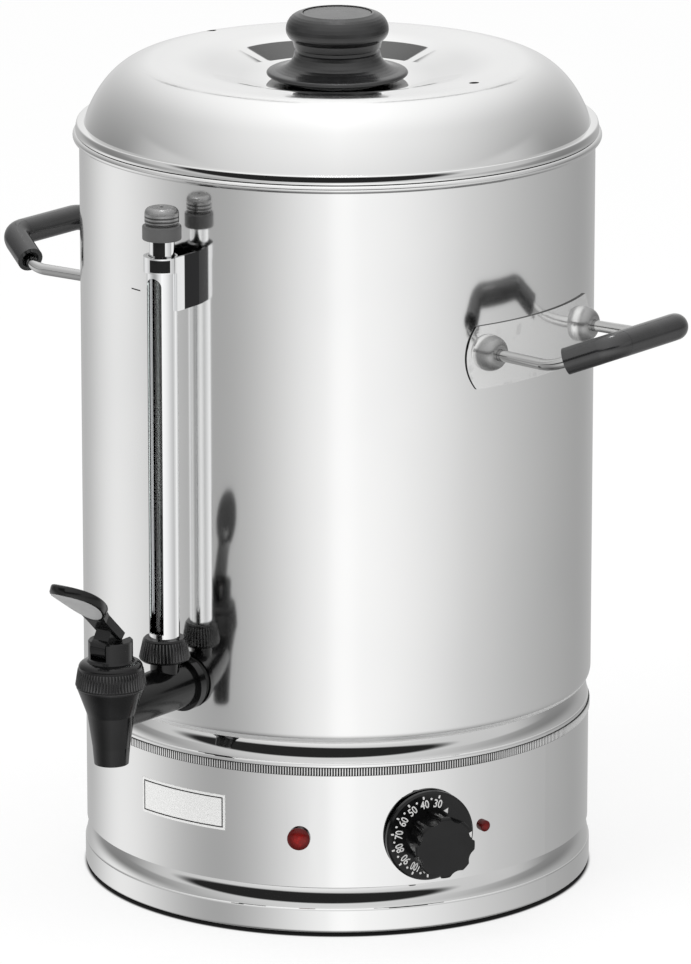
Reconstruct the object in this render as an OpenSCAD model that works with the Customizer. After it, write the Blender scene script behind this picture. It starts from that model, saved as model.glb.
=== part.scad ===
// Catering urn for hot water: steel tank on a heated base, lift-off lid, sight gauge and lever tap.
// Millimetres, +Z up, origin on the tank's axis in the plane of the feet. The tap points to -Y.

/* [Tank] */
// Outer diameter of the tank
tank_d = 270; // [220:1:340]
// Sheet thickness of the tank
tank_wall = 1; // [0.6:0.1:2]
// Height of the tank from its floor to the middle of the rim bead
tank_h = 293.6; // [240:0.1:380]
// Diameter of the rolled bead on the rim
bead_d = 4.4; // [3:0.1:7]
// How far the tank's lower edge tucks in
tuck_in = 4; // [2:0.1:6]
// Height of the tucked-in lower edge
tuck_h = 6; // [4:0.1:10]

/* [Base casing] */
// Height of the tank's floor above the feet plane
base_h = 104; // [92:1:130]
// Sheet thickness of the base casing and the base plate
base_wall = 0.8; // [0.6:0.1:1.5]
// How far the panel stands in from the tank's wall
panel_in = 1; // [0.5:0.1:2]
// Lower edge of the panel above the feet plane
panel_z = 26.4; // [22:0.1:32]
// Depth of the groove under the panel
groove_in = 2.2; // [1.4:0.1:3]
// Height of the groove's lip
groove_h = 0.9; // [0.6:0.1:1.5]
// Height of the sloped shoulder over the foot band
foot_shoulder_h = 11.5; // [8:0.1:14]
// Gap from the feet plane to the hem of the casing
hem_gap = 2; // [1:0.1:4]
// Bend radius of the hem
hem_r = 1.5; // [1:0.1:3]
// Inner radius of the hem's flange, as a distance in from the tank's wall
hem_in = 13; // [10:0.5:18]
// Height of the sloped shoulder under the tank
top_shoulder_h = 11.2; // [8:0.1:12]
// How far the shoulder comes in from the panel
top_shoulder_in = 3; // [2.4:0.1:4]
// Bend radius at the foot of both shoulders
shoulder_bend_r = 1.2; // [0.8:0.1:2]
// Width of the inner ledge that the tank stands on
seat_w = 9; // [6:0.5:14]
// Height of the knurled band
knurl_h = 4.5; // [3:0.1:7]
// Thickness of the knurled band
knurl_t = 0.6; // [0.4:0.1:1]
// Distance from the knurled band down from the tank's floor
knurl_drop = 12.5; // [11:0.1:18]

/* [Lid] */
// Height of the lid's rim band
lid_rim_h = 4.5; // [3:0.1:8]
// How far the lid's rim stands out past the tank's wall
lid_rim_out = 2; // [1:0.1:4]
// Width of the flat ledge inside the rim
lid_ledge_w = 4.5; // [3:0.1:8]
// Height of the dome over the ledge
lid_dome_h = 32; // [24:0.5:45]
// Width of the rounded shoulder of the dome
lid_shoulder_w = 34.5; // [28:0.5:44]
// Angle of the dome's arc at its foot
lid_foot_a = 20; // [10:1:35]
// Radius of the edge where the crown starts to dish
lid_dish_r = 75; // [65:1:85]
// Drop of the crown from the shoulder to the dish
lid_crown_drop = 1.3; // [0.8:0.1:4]
// Radius of the flat floor of the dish
lid_floor_r = 43; // [39:0.5:50]
// Depth of the dish
lid_dish_depth = 9.2; // [6:0.1:12]
// Sheet thickness of the lid
lid_wall = 0.8; // [0.6:0.1:1.5]
// Depth of the ring that keeps the lid on the tank
lid_skirt_h = 12; // [6:0.5:20]
// Gap between that ring and the tank
lid_skirt_gap = 1.2; // [0.8:0.1:2.5]
// Radius at which the front vent hole sits
vent_front_r = 91; // [85:1:105]
// Direction of the front vent hole, from the tap towards +X
vent_front_a = 86; // [0:1:180]
// Radius at which the rear vent hole sits
vent_rear_r = 101; // [85:1:105]
// Direction of the rear vent hole
vent_rear_a = 257; // [180:1:360]
// Diameter of a vent hole
vent_d = 4; // [2:0.1:6]
// Largest diameter of the lid knob
knob_d = 74; // [60:1:78]
// Height of the lid knob
knob_h = 35.5; // [30:0.5:45]
// Diameter of the knob's bulb
knob_bulb_d = 53.8; // [44:0.2:60]
// Diameter of the knob's waist
knob_waist_d = 45; // [36:0.5:46]
// Diameter of the disc in the knob's top
knob_cap_d = 36; // [28:0.5:40]
// Thickness of that disc
knob_cap_t = 1.6; // [1:0.1:3]
// Diameter of the screw that holds the knob
knob_screw_d = 5; // [4:0.5:6]

/* [Handles] */
// Distance of a handle's bosses below the rim
handle_drop = 90.6; // [70:0.1:130]
// Direction of the right handle, from the tap towards +X
handle_a = 87; // [80:0.5:100]
// Distance from the urn's axis to the axis of a grip
handle_reach = 200.8; // [192:0.1:215]
// Angle of a boss to either side of the handle's middle
boss_a = 17; // [15:0.1:20]
// Angle by which the ends of the rod spread
stub_a = 4; // [0:0.5:8]
// Diameter of the handle's rod
rod_d = 6; // [5:0.5:8]
// Bend radius of the rod near the tank
rod_bend_r = 19.5; // [15:0.5:26]
// Angle by which the legs of the rod come together
leg_a = 27; // [20:0.5:32]
// Angle at which the legs rise
leg_rise = 20.5; // [10:0.5:25]
// Straight length of a leg
leg_l = 20; // [18.5:0.5:26]
// Bend radius of the rod at the corners of the grip
grip_bend_r = 12; // [10:0.5:16]
// Outer diameter of a grip
grip_d = 14; // [12:0.5:16]
// How far a grip runs on past its corner
grip_lap = 18; // [8:0.5:18.5]
// Diameter of the wide mouth at a grip's end
grip_mouth_d = 9.4; // [8.5:0.1:10.5]
// Depth of that mouth
grip_mouth_h = 4; // [2:0.5:6]
// Width of a handle plate along the wall
plate_w = 104; // [98:1:120]
// Height of a handle plate
plate_h = 33; // [30:0.5:40]
// How far the middle of a plate lies below its rod
plate_drop = 2; // [0:0.5:4]
// Radius of the round ends of a plate
plate_end_r = 27; // [24:0.5:40]
// Sheet thickness of a plate
plate_t = 1.2; // [1:0.1:2]
// Diameter of a domed boss at its foot
boss_d = 19; // [16:0.5:20]
// Diameter of a boss at the rod
boss_tip_d = 10; // [9:0.5:13]
// Height of a boss
boss_h = 8; // [6:0.5:11]

/* [Gauge] */
// Distance from the tank's wall to the gauge's axis
gauge_out = 18.2; // [17:0.1:22]
// Outer diameter of the guard tube
guard_d = 16; // [15:0.5:18]
// Wall of the guard tube
guard_wall = 1; // [0.6:0.1:1.4]
// Width of the slot in the guard
slot_w = 9; // [6:0.5:11]
// Height of the guard below the slot
slot_foot = 10; // [7:0.5:20]
// Height of the guard above the slot
slot_head = 10.7; // [9:0.1:20]
// Outer diameter of the glass tube
glass_d = 10; // [8:0.5:10.5]
// Wall of the glass tube
glass_wall = 1.2; // [0.8:0.1:2]
// Distance of the bracket's top below the rim
bracket_drop = 36.6; // [30:0.1:50]
// Height of the strap round the guard
strap_h = 8; // [6:0.5:12]
// Height of the bracket's cheeks
cheek_h = 28; // [20:0.5:36]
// Sheet thickness of the bracket
bracket_t = 1.4; // [1:0.1:2]
// Diameter of the neck over the guard
neck_d = 13; // [12.5:0.1:13.4]
// Visible length of the neck
neck_h = 8.5; // [5:0.5:14]
// Diameter of the cap's collar
cap_d = 20; // [18:0.5:24]
// Height of the cap's collar
cap_collar_h = 7.5; // [6:0.5:10]
// Diameter of the cap's crown
cap_crown_d = 17.6; // [16:0.2:19]
// Height of the cap's crown
cap_crown_h = 6; // [4:0.5:8]
// Height of the cap's domed top
cap_dome_h = 3.2; // [2:0.1:5]
// Lower diameter of the gauge nut
nut_d = 26; // [24:0.5:30]
// Upper diameter of the gauge nut
nut_top_d = 22; // [20:0.5:23.5]
// Height of the gauge nut
nut_h = 12; // [10:0.5:15]

/* [Tap] */
// Height of the tap's axis above the tank's floor
tap_rise = 27; // [24:0.5:45]
// Distance from the tank's wall to the valve's axis
valve_out = 64; // [58:1:75]
// Diameter of the wall flange
flange_d = 29; // [27:0.5:36]
// Thickness of the wall flange
flange_t = 4.5; // [3:0.5:7]
// Thickness of the wall gaskets at their middle
gasket_t = 1.5; // [1.2:0.1:3]
// Diameter of the pipe at the flange
pipe_d = 25; // [23:0.5:26]
// Diameter of the pipe at the valve
pipe_tip_d = 22; // [19:0.5:23]
// Diameter of the water way
bore_d = 12; // [9:0.5:13]
// Diameter of the shank through the wall
shank_d = 18; // [16:0.5:20]
// Length of the shank inside the tank
shank_in = 16; // [13:0.5:22]
// Width across the flats of the lock nut
lock_nut_w = 27; // [25:0.5:30]
// Thickness of the lock nut
lock_nut_h = 6; // [4:0.5:8]
// Diameter of the branch to the gauge
branch_d = 15; // [14:0.5:16]
// Height of the branch above the tap's axis
branch_h = 19; // [18:0.5:26]
// Distance from the tap's axis down to the spout's end
spout_drop = 27.8; // [24:0.2:40]
// Outer diameter of the spout's end
spout_d = 17.8; // [16.5:0.2:20]
// Outer diameter of the valve body under the bonnet
valve_d = 34.4; // [32:0.2:38]
// Height of the valve body above the tap's axis
valve_rise = 13; // [11:0.5:15]
// Diameter of the spout's bore
spout_bore_d = 13.2; // [10:0.2:14]
// Diameter of the bonnet's collar
bonnet_d = 35.6; // [34:0.2:40]
// Height of the bonnet's collar
bonnet_collar_h = 10.5; // [9.5:0.5:14]
// Height of the bonnet's domed shoulder
bonnet_dome_h = 4.5; // [3.5:0.5:7]
// How far the bonnet's collar narrows to its top
bonnet_lean = 1.3; // [0.6:0.1:1.6]
// Diameter of the turret
turret_d = 23; // [22:0.5:26]
// Height of the turret
turret_h = 10; // [9.5:0.5:14]
// Width of the turret's slot
turret_slot = 10; // [9:0.2:11]
// Diameter of the valve's stem
stem_d = 4.8; // [4:0.1:5]
// Diameter of the lever's pin
pivot_d = 2.4; // [2:0.1:2.6]
// Diameter of the lever's hub
hub_d = 7.2; // [6.6:0.1:7.2]
// Diameter of the lever's cam
cam_d = 10.8; // [10.6:0.1:11.2]
// Distance from the pin to the middle of the cam
cam_out = 6; // [5:0.1:6.2]
// Angle by which the lever tips
lever_travel = 30; // [20:1:32]
// Width of the lever's arm
arm_w = 13; // [11:0.5:16]
// Thickness of the lever's arm
arm_t = 4.5; // [3.5:0.1:6]
// Height of the arm's under side over the pin, square to the arm
arm_off = 4.4; // [4:0.1:5]
// Length of the lever's arm
arm_l = 23; // [20:0.5:28]
// Angle of the lever's arm over the horizon at rest
arm_a = 43.5; // [40:0.5:55]
// Width of the lever's paddle
paddle_w = 22; // [18:0.5:28]
// Length of the lever's paddle
paddle_l = 37; // [32:0.5:44]
// Thickness of the lever's paddle
paddle_t = 4.6; // [3.5:0.1:6]
// Angle over the horizon at which the paddle starts
paddle_a = 48; // [42:1:58]
// Angle by which the paddle curves over its length
paddle_bend = 26; // [16:1:40]
// Wire diameter of the valve's spring
wire_d = 1.1; // [0.8:0.1:1.4]
// Turns of the valve's spring
spring_turns = 5; // [3:1:7]

/* [Controls] */
// Height of the dial and lamps above the feet plane
control_z = 53; // [46:0.5:64]
// Direction of the dial, from the tap towards +X
dial_a = 56; // [50:1:80]
// Direction of the heating lamp
lamp_a = 27; // [20:0.5:34]
// Direction of the power lamp
pilot_a = 70; // [68:0.5:95]
// Diameter of the heating lamp
lamp_d = 12; // [9:0.5:14]
// Diameter of the power lamp
pilot_d = 6; // [5:0.2:7]
// Diameter of the dial's skirt
skirt_d = 48; // [40:1:54]
// Thickness of the dial's skirt
skirt_t = 3; // [2:0.1:4]
// Gap from the panel to the dial's skirt
skirt_gap = 1; // [0.9:0.1:2]
// Diameter of the grip at the skirt
dial_grip_d = 27; // [25:0.5:29]
// Diameter of the grip at its face
dial_face_d = 33; // [30:0.5:36]
// Height of the grip over the skirt
dial_grip_h = 22; // [16:0.5:28]
// Number of flutes round the grip
dial_flutes = 8; // [6:1:12]
// Diameter of a flute
flute_d = 12; // [8:0.5:14]
// Diameter of the thermostat's shaft
shaft_d = 6; // [5:0.5:7]
// Width of the thermostat's body
stat_w = 44; // [40:1:52]
// Height of the thermostat's body
stat_h = 34; // [30:1:44]
// Depth of the thermostat's body
stat_depth = 26; // [18:1:32]
// Distance from the panel's wall to the thermostat's body
stat_back = 6; // [5:0.5:10]
// Thread of a thermostat screw behind its bracket
stat_thread_l = 8; // [6:0.5:12]
// Distance of a thermostat screw from the shaft
stat_screw_x = 14; // [12:0.5:17]

/* [Inlet] */
// Width of the inlet's socket
socket_w = 24; // [23:0.1:28]
// Height of the inlet's socket
socket_h = 16.5; // [16:0.1:20]
// Depth of the inlet's socket
socket_depth = 15; // [14:0.5:18]
// Width of the inlet's flange
inlet_w = 50; // [48:0.5:56]
// Height of the inlet's flange
inlet_h = 24; // [22:0.5:30]
// Thickness of the inlet's flange
inlet_t = 2.6; // [2:0.1:4]
// Wall of the inlet's housing
inlet_wall = 2; // [1.5:0.1:3]
// Distance between the inlet's screws
inlet_pitch = 40; // [38.5:0.5:44]
// Length of a pin in the socket
prong_l = 10.5; // [8:0.5:11]
// Width of a pin
prong_w = 4; // [3:0.2:5]
// Thickness of a pin
prong_t = 2; // [1.5:0.1:2.4]

/* [Feet and inner parts] */
// Height of a rubber foot
foot_h = 10; // [8:0.5:14]
// Diameter of a rubber foot
foot_d = 22; // [18:0.5:24]
// Radius at which the feet stand
foot_r = 92; // [88:1:96]
// Diameter of a foot's screw
foot_screw_d = 4; // [3:0.5:5]
// Radius at which the tie rods stand
tie_r = 78; // [72:1:80]
// Diameter of a tie rod
tie_d = 5; // [4:0.5:6]
// Radius of the heater plate
heater_r = 92; // [88:1:98]
// Thickness of the heater plate
heater_t = 4; // [3:0.5:6]
// Radius of the heating element's ring
element_r = 58; // [50:1:64]
// Diameter of the heating element's tube
element_d = 8; // [6:0.5:9]
// Open angle of the element's ring
element_gap_a = 30; // [24:1:50]
// Diameter of the thermal cut-out
cutout_d = 18; // [14:0.5:24]
// Height of the thermal cut-out
cutout_h = 9; // [6:0.5:12]
// Diameter of the sensor bulb
bulb_d = 6; // [4:0.5:7]
// Room between the heater plate and the sensor bulb
bulb_room = 12; // [8:0.5:16]
// Length of the sensor bulb
bulb_l = 50; // [36:1:56]
// Diameter of the capillary tube
capillary_d = 1.6; // [1:0.1:2]
// Bend radius of the capillary tube
capillary_r = 5; // [4:0.5:8]

/* [Clearances] */
// Radial play of a shaft or pin in its bore
run_fit = 0.05; // [0.02:0.01:0.1]
// Radial play of pieces that are pushed or screwed together
slip_fit = 0.1; // [0.05:0.01:0.2]
// Gap between pieces that must not touch
clear = 0.3; // [0.2:0.05:0.6]

/* [Hidden] */
$fn = 96;
eps = 0.01;
arc_n = 10;
// Facets of a circle as large as the tank
wall_fn = 360;
// How far a straight bar runs into a bend, and how much thinner the bend is
weld = 0.5;
weld_step = 0.05;

tank_r = tank_d / 2;
rim_z = base_h + tank_h;
bead_r = bead_d / 2;
bead_at = tank_r + bead_r - tank_wall;

panel_r = tank_r - panel_in;
panel_inner_r = panel_r - base_wall;
groove_r = panel_r - groove_in;
groove_z = panel_z - groove_h;
shoulder_r = panel_r - top_shoulder_in;
shoulder_z = base_h - top_shoulder_h;
knurl_z = base_h - knurl_drop - knurl_h;
hem_inner_r = tank_r - hem_in;
hem_top = hem_gap + base_wall;

lid_z = rim_z + bead_r + clear;
lid_rim_r = tank_r + lid_rim_out;
lid_rim_corner = lid_rim_h / 4;
ledge_z = lid_z + lid_rim_h;
dome_r = lid_rim_r - lid_ledge_w;
crown_r = dome_r - lid_shoulder_w;
crown_z = ledge_z + lid_dome_h;
dish_z = crown_z - lid_crown_drop;
dish_floor_z = dish_z - lid_dish_depth;
skirt_ring_r = tank_r - tank_wall - lid_skirt_gap;

handle_z = rim_z - handle_drop;
rod_r = rod_d / 2;
rod_foot_r = tank_r + rod_r * sin(boss_a - stub_a) + clear + weld;
stub_way = [cos(stub_a), sin(stub_a), 0];
leg_way = [cos(leg_rise) * cos(leg_a), -cos(leg_rise) * sin(leg_a), sin(leg_rise)];
grip_way = [0, -1, 0];
rod_start = rod_foot_r * [cos(boss_a), sin(boss_a), 0];
bend_run = run_of_bend(stub_way, leg_way, rod_bend_r);
corner_run = run_of_bend(leg_way, grip_way, grip_bend_r);
stub_l = (handle_reach - (rod_start + bend_run + leg_l * leg_way + corner_run).x) / stub_way.x;
bend_at = rod_start + stub_l * stub_way;
leg_at = bend_at + bend_run;
corner_at = leg_at + leg_l * leg_way;
grip_at = corner_at + corner_run;

tap_z = base_h + tap_rise;
gauge_r = tank_r + gauge_out;
valve_r = tank_r + valve_out;
flange_back = tank_r + gasket_t;
branch_z = tap_z + branch_h;
seal_h = 2;
guard_z = branch_z + seal_h + clear;
nut_z = branch_z + seal_h + 7.4 - nut_h;
bracket_z = rim_z - bracket_drop;
guard_top = bracket_z;
neck_top = bracket_z + neck_h;
cap_bore_h = 5.5;
glass_z = tap_z + bore_d / 2 + 4;
glass_top = neck_top + 2;

valve_top = tap_z + valve_rise;
spout_z = tap_z - spout_drop;
seat_z = tap_z - bore_d / 2 + 0.5;
valve_neck_r = valve_d / 2 - 2;
chamber_r = valve_neck_r - 2;
neck_rise = bonnet_collar_h - 2.5;
bonnet_dome_z = valve_top + bonnet_collar_h;
turret_z = bonnet_dome_z + bonnet_dome_h;
turret_top = turret_z + turret_h;
pivot_z = turret_z + 5;
cam_at = cam_out * [cos(lever_travel / 2), sin(lever_travel / 2)];
slot_z = pivot_z + cam_at.y - cam_d / 2 - clear;
stem_top = pivot_z + pivot_d / 2 + 1.4;
spring_r = stem_d / 2 + 2.2;
cup_r = spout_bore_d / 2 + 2;
cup_z = seat_z + clear;
cup_h = 11;
spring_z = cup_z + cup_h + clear;
spring_top = bonnet_dome_z + bonnet_dome_h / 2;

barrel_share = 0.86;
lamp_rim_t = 1.2;
skirt_back = panel_r + skirt_gap;
grip_back = skirt_back + skirt_t;
stat_front = panel_inner_r - stat_back;
inlet_mouth = panel_r + inlet_t;
socket_floor = inlet_mouth - socket_depth;
plate_floor = foot_h;
heater_z = base_h - heater_t;
element_z = heater_z - element_d / 2 - slip_fit;
bulb_z = base_h - bulb_d / 2 - clear;
bulb_r = heater_r + bulb_d / 2 + bulb_room;

steel = [0.82, 0.83, 0.84];
dark_steel = [0.6, 0.61, 0.63];
black = [0.09, 0.09, 0.1];
grey = [0.45, 0.46, 0.47];
red = [0.7, 0.08, 0.07];
brass = [0.75, 0.62, 0.3];

// Points of an elliptical arc about c
function arc(c, rx, ry, a0, a1, n = arc_n) =
    [for (i = [0:n]) let (a = a0 + (a1 - a0) * i / n) [c.x + rx * cos(a), c.y + ry * sin(a)]];

// Unit normal to the right of the way from p to q
function side(p, q) = let (d = q - p) [d.y, -d.x] / norm(d);

// The line moved to its left by t, with mitred corners
function inset_line(line, t) =
    let (last = len(line) - 1)
    [for (i = [0:last])
        let (a = side(line[max(i - 1, 0)], line[max(i, 1)]))
        let (b = side(line[min(i, last - 1)], line[min(i + 1, last)]))
        line[i] - t * (a + b) / (1 + a * b)];

function turned_round(line) = [for (i = [len(line) - 1:-1:0]) line[i]];

// A turned sheet: the outside line, which has the outside on its right, and the wall inside it
module turned_sheet(line, wall) {
    rotate_extrude()
        polygon(concat(line, turned_round(inset_line(line, wall))));
}

// Local +Z points out from the urn's axis in the direction a, local +Y up
module facing(a, z) {
    translate([0, 0, z])
        rotate([90, 0, a])
            children();
}

// Bend of a round bar to the right by the angle a; what follows starts at its end
module bend(r, bend_r, a) {
    translate([0, -bend_r, 0]) {
        rotate([0, 0, 90 - a])
            rotate_extrude(angle = a)
                translate([bend_r, 0])
                    circle(r - weld_step);
        rotate([0, 0, -a])
            translate([0, bend_r, 0])
                children();
    }
}

module bar(r, length) {
    rotate([0, 90, 0])
        cylinder(r = r, h = length);
}

// A bar that runs on into the bends at its ends
module welded_bar(r, length) {
    translate([-weld, 0, 0])
        bar(r, length + 2 * weld);
}

// Unit vector square to the heading a, on the side of the heading b
function towards(a, b) = let (n = b - (a * b) * a) n / norm(n);

// Way from the start to the end of a bend from the heading a to the heading b
function run_of_bend(a, b, r) = r * (sin(acos(a * b)) * a + (1 - a * b) * towards(a, b));

// Local +X along the heading a, with the heading b on the local -Y side
module heading(a, b) {
    y = -towards(a, b);
    z = cross(a, y);
    multmatrix([[a.x, y.x, z.x, 0], [a.y, y.y, z.y, 0], [a.z, y.z, z.z, 0], [0, 0, 0, 1]])
        children();
}

module both_sides() {
    children();
    mirror([0, 1, 0])
        children();
}

module hex_nut(across, h, bore) {
    difference() {
        cylinder(d = across / cos(30), h = h, $fn = 6);
        translate([0, 0, -eps])
            cylinder(d = bore, h = h + 2 * eps);
    }
}

// Tank and base casing

module tank() {
    wall_top = rim_z;
    line = concat(
        [[0, base_h]],
        arc([tank_r - tuck_in, base_h + tuck_h], tuck_in, tuck_h, -90, 0),
        [[tank_r, wall_top]]);
    color(steel)
        difference() {
            union() {
                turned_sheet(line, tank_wall);
                rotate_extrude()
                    translate([bead_at, rim_z])
                        circle(bead_r);
            }
            facing(0, tap_z)
                cylinder(d = shank_d + 2 * slip_fit, h = tank_r + bead_d);
        }
}

module base_shell() {
    band_r = tank_r;
    foot_z = groove_z - foot_shoulder_h;
    line = concat(
        [[hem_inner_r, hem_gap]],
        arc([band_r - hem_r, hem_gap + hem_r], hem_r, hem_r, -90, 0, 5),
        arc([band_r - shoulder_bend_r, foot_z], shoulder_bend_r, shoulder_bend_r, 0, 60, 4),
        [[groove_r, groove_z], [panel_r, panel_z]],
        arc([panel_r - shoulder_bend_r, shoulder_z], shoulder_bend_r, shoulder_bend_r, 0, 60, 4),
        [[shoulder_r, base_h], [shoulder_r - seat_w, base_h]]);
    color(steel)
        difference() {
            turned_sheet(line, base_wall);
            facing(dial_a, control_z) {
                cylinder(d = shaft_d + 3, h = tank_r);
                for (x = [-stat_screw_x, stat_screw_x])
                    translate([x, 0, 0])
                        cylinder(d = foot_screw_d + 2 * slip_fit, h = tank_r);
            }
            facing(lamp_a, control_z)
                cylinder(d = lamp_d * barrel_share + 2 * slip_fit, h = tank_r);
            facing(pilot_a, control_z)
                cylinder(d = pilot_d * barrel_share + 2 * slip_fit, h = tank_r);
            facing(180, control_z) {
                socket_box(inlet_wall + slip_fit, tank_r / 2, tank_r);
                inlet_holes(tank_r / 2, tank_r);
            }
        }
}

module knurled_band() {
    color(dark_steel)
        translate([0, 0, knurl_z])
            difference() {
                cylinder(r = panel_r + slip_fit + knurl_t, h = knurl_h);
                translate([0, 0, -eps])
                    cylinder(r = panel_r + slip_fit, h = knurl_h + 2 * eps);
            }
}

// Base plate, feet and tie rods

function foot_angles() = [45, 135, 225, 315];
function tie_angles() = [90, 210, 330];

module at_each(angles, r) {
    for (a = angles)
        rotate([0, 0, a])
            translate([r, 0, 0])
                children();
}

module base_plate() {
    dish_r = foot_r + foot_d / 2 + 4;
    line = [[0, plate_floor], [dish_r, plate_floor], [dish_r + 3, hem_top], [hem_inner_r + 6, hem_top]];
    color(steel)
        difference() {
            turned_sheet(line, base_wall);
            at_each(foot_angles(), foot_r)
                cylinder(d = foot_screw_d + 2 * slip_fit, h = 2 * foot_h);
            at_each(tie_angles(), tie_r)
                cylinder(d = tie_d + 2 * slip_fit, h = 2 * foot_h);
            for (r = [24, 40, 56])
                at_each([for (i = [0:11]) 30 * i], r)
                    cylinder(d = 6, h = 2 * foot_h);
        }
}

module rubber_feet() {
    head_room = 4;
    color(black)
        at_each(foot_angles(), foot_r)
            difference() {
                cylinder(d1 = foot_d - 3, d2 = foot_d, h = foot_h);
                translate([0, 0, -eps])
                    cylinder(d = 2 * foot_screw_d + 1, h = head_room);
                cylinder(d = foot_screw_d + 2 * slip_fit, h = foot_h + eps);
            }
}

module foot_screws() {
    head_h = 2.5;
    head_z = 4 - head_h;
    color(dark_steel)
        at_each(foot_angles(), foot_r) {
            translate([0, 0, head_z])
                cylinder(d = 2 * foot_screw_d, h = head_h - eps);
            translate([0, 0, head_z])
                cylinder(d = foot_screw_d, h = plate_floor + base_wall + 5 - head_z);
        }
}

module foot_nuts() {
    color(dark_steel)
        at_each(foot_angles(), foot_r)
            translate([0, 0, plate_floor + base_wall])
                hex_nut(1.75 * foot_screw_d, 3.2, foot_screw_d + 2 * slip_fit);
}

module tie_rods() {
    color(dark_steel)
        at_each(tie_angles(), tie_r)
            translate([0, 0, plate_floor - 6])
                cylinder(d = tie_d, h = base_h - plate_floor + 6);
}

module tie_nuts() {
    nut_thick = 4;
    color(dark_steel)
        for (z = [plate_floor, heater_z])
            at_each(tie_angles(), tie_r)
                translate([0, 0, z - nut_thick])
                    hex_nut(1.6 * tie_d, nut_thick, tie_d + 2 * slip_fit);
}

// Heating

module heater_plate() {
    color(dark_steel)
        translate([0, 0, heater_z])
            difference() {
                cylinder(r = heater_r, h = heater_t);
                translate([0, 0, -eps])
                    at_each(tie_angles(), tie_r)
                        cylinder(d = tie_d + 2 * slip_fit, h = heater_t + 2 * eps);
            }
}

module heating_element() {
    leg = 22;
    color(dark_steel)
        translate([0, 0, element_z]) {
            rotate([0, 0, element_gap_a / 2 - 90])
                rotate_extrude(angle = 360 - element_gap_a)
                    translate([element_r, 0])
                        circle(d = element_d);
            for (a = [-90 - element_gap_a / 2, -90 + element_gap_a / 2])
                rotate([0, 0, a])
                    translate([element_r, 0, 0]) {
                        sphere(d = element_d);
                        translate([0, 0, -leg])
                            cylinder(d = element_d, h = leg);
                        translate([0, 0, -leg - 10])
                            cylinder(d = element_d / 2, h = 10);
                    }
        }
}

module thermal_cutout() {
    tag_h = 8;
    color("ivory")
        translate([0, 0, heater_z - cutout_h]) {
            cylinder(d = cutout_d, h = cutout_h);
            translate([0, 0, cutout_h - 1.2])
                cylinder(d = cutout_d + 6, h = 1.2);
            for (x = [-cutout_d / 4, cutout_d / 4])
                translate([x - 0.4, -3, -tag_h])
                    cube([0.8, 6, tag_h]);
        }
}

module terminal_block() {
    block = [44, 18, 14];
    poles = 3;
    pitch = block.x / poles;
    color("ivory")
        translate([-block.x / 2, 38, plate_floor + base_wall])
            difference() {
                cube(block);
                for (i = [0:poles - 1])
                    translate([(i + 0.5) * pitch, 0, 0]) {
                        translate([0, -eps, block.z / 2])
                            rotate([-90, 0, 0])
                                cylinder(d = 5, h = block.y + 2 * eps);
                        translate([0, block.y / 2, block.z / 2])
                            cylinder(d = 6, h = block.z);
                    }
            }
}

// Thermostat and dial, in the dial's own direction

module thermostat_body() {
    color(dark_steel)
        facing(dial_a, control_z)
            difference() {
                union() {
                    translate([-stat_w / 2, -stat_h / 2, stat_front - stat_depth])
                        cube([stat_w, stat_h, stat_depth]);
                    intersection() {
                        for (x = [-stat_screw_x, stat_screw_x])
                            translate([x, 0, stat_front - 1])
                                cylinder(d = 2 * foot_screw_d, h = stat_back + 2);
                        rotate([90, 0, 0])
                            cylinder(r = panel_inner_r - slip_fit, h = stat_h, center = true, $fn = wall_fn);
                    }
                    translate([0, 0, stat_front - 1])
                        cylinder(d = shaft_d + 5, h = stat_back - 2);
                }
                translate([0, 0, stat_front - stat_depth / 2])
                    cylinder(d = shaft_d + 2 * run_fit, h = stat_depth);
                for (x = [-stat_screw_x, stat_screw_x])
                    translate([x, 0, stat_front - stat_depth / 2])
                        cylinder(d = foot_screw_d + 2 * slip_fit, h = stat_depth);
            }
}

module thermostat_screws() {
    head_t = 0.9;
    head_back = sqrt(panel_r * panel_r - pow(stat_screw_x - foot_screw_d, 2));
    color(dark_steel)
        facing(dial_a, control_z)
            for (x = [-stat_screw_x, stat_screw_x])
                translate([x, 0, head_back]) {
                    cylinder(d = 1.8 * foot_screw_d, h = head_t);
                    translate([0, 0, -stat_back - stat_thread_l])
                        cylinder(d = foot_screw_d, h = stat_back + stat_thread_l);
                }
}

module sensor_bulb() {
    rise = bulb_z - control_z;
    stem_x = stat_w / 2 - 4;
    end_x = stem_x - capillary_r;
    color("peru")
        facing(dial_a, control_z)
            translate([0, 0, bulb_r]) {
                translate([end_x - bulb_l, rise, 0])
                    bar(bulb_d / 2, bulb_l);
                translate([end_x, rise, 0])
                    bend(capillary_d / 2, capillary_r, 90);
                translate([stem_x, rise - capillary_r, 0])
                    rotate([90, 0, 0])
                        cylinder(d = capillary_d, h = rise - capillary_r - stat_h / 2);
            }
}

module thermostat_shaft() {
    color(brass)
        facing(dial_a, control_z)
            translate([0, 0, stat_front - stat_depth / 2 + clear])
                cylinder(d = shaft_d, h = grip_back + dial_grip_h * 0.6 - stat_front + stat_depth / 2 - clear);
}

module dial_skirt() {
    bevel = skirt_t / 3;
    r = skirt_d / 2;
    color(black)
        facing(dial_a, control_z)
            translate([0, 0, skirt_back])
                rotate_extrude()
                    polygon([
                        [shaft_d / 2 + slip_fit, 0], [r, 0], [r, skirt_t - bevel],
                        [r - bevel, skirt_t], [shaft_d / 2 + slip_fit, skirt_t]]);
}

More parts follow.
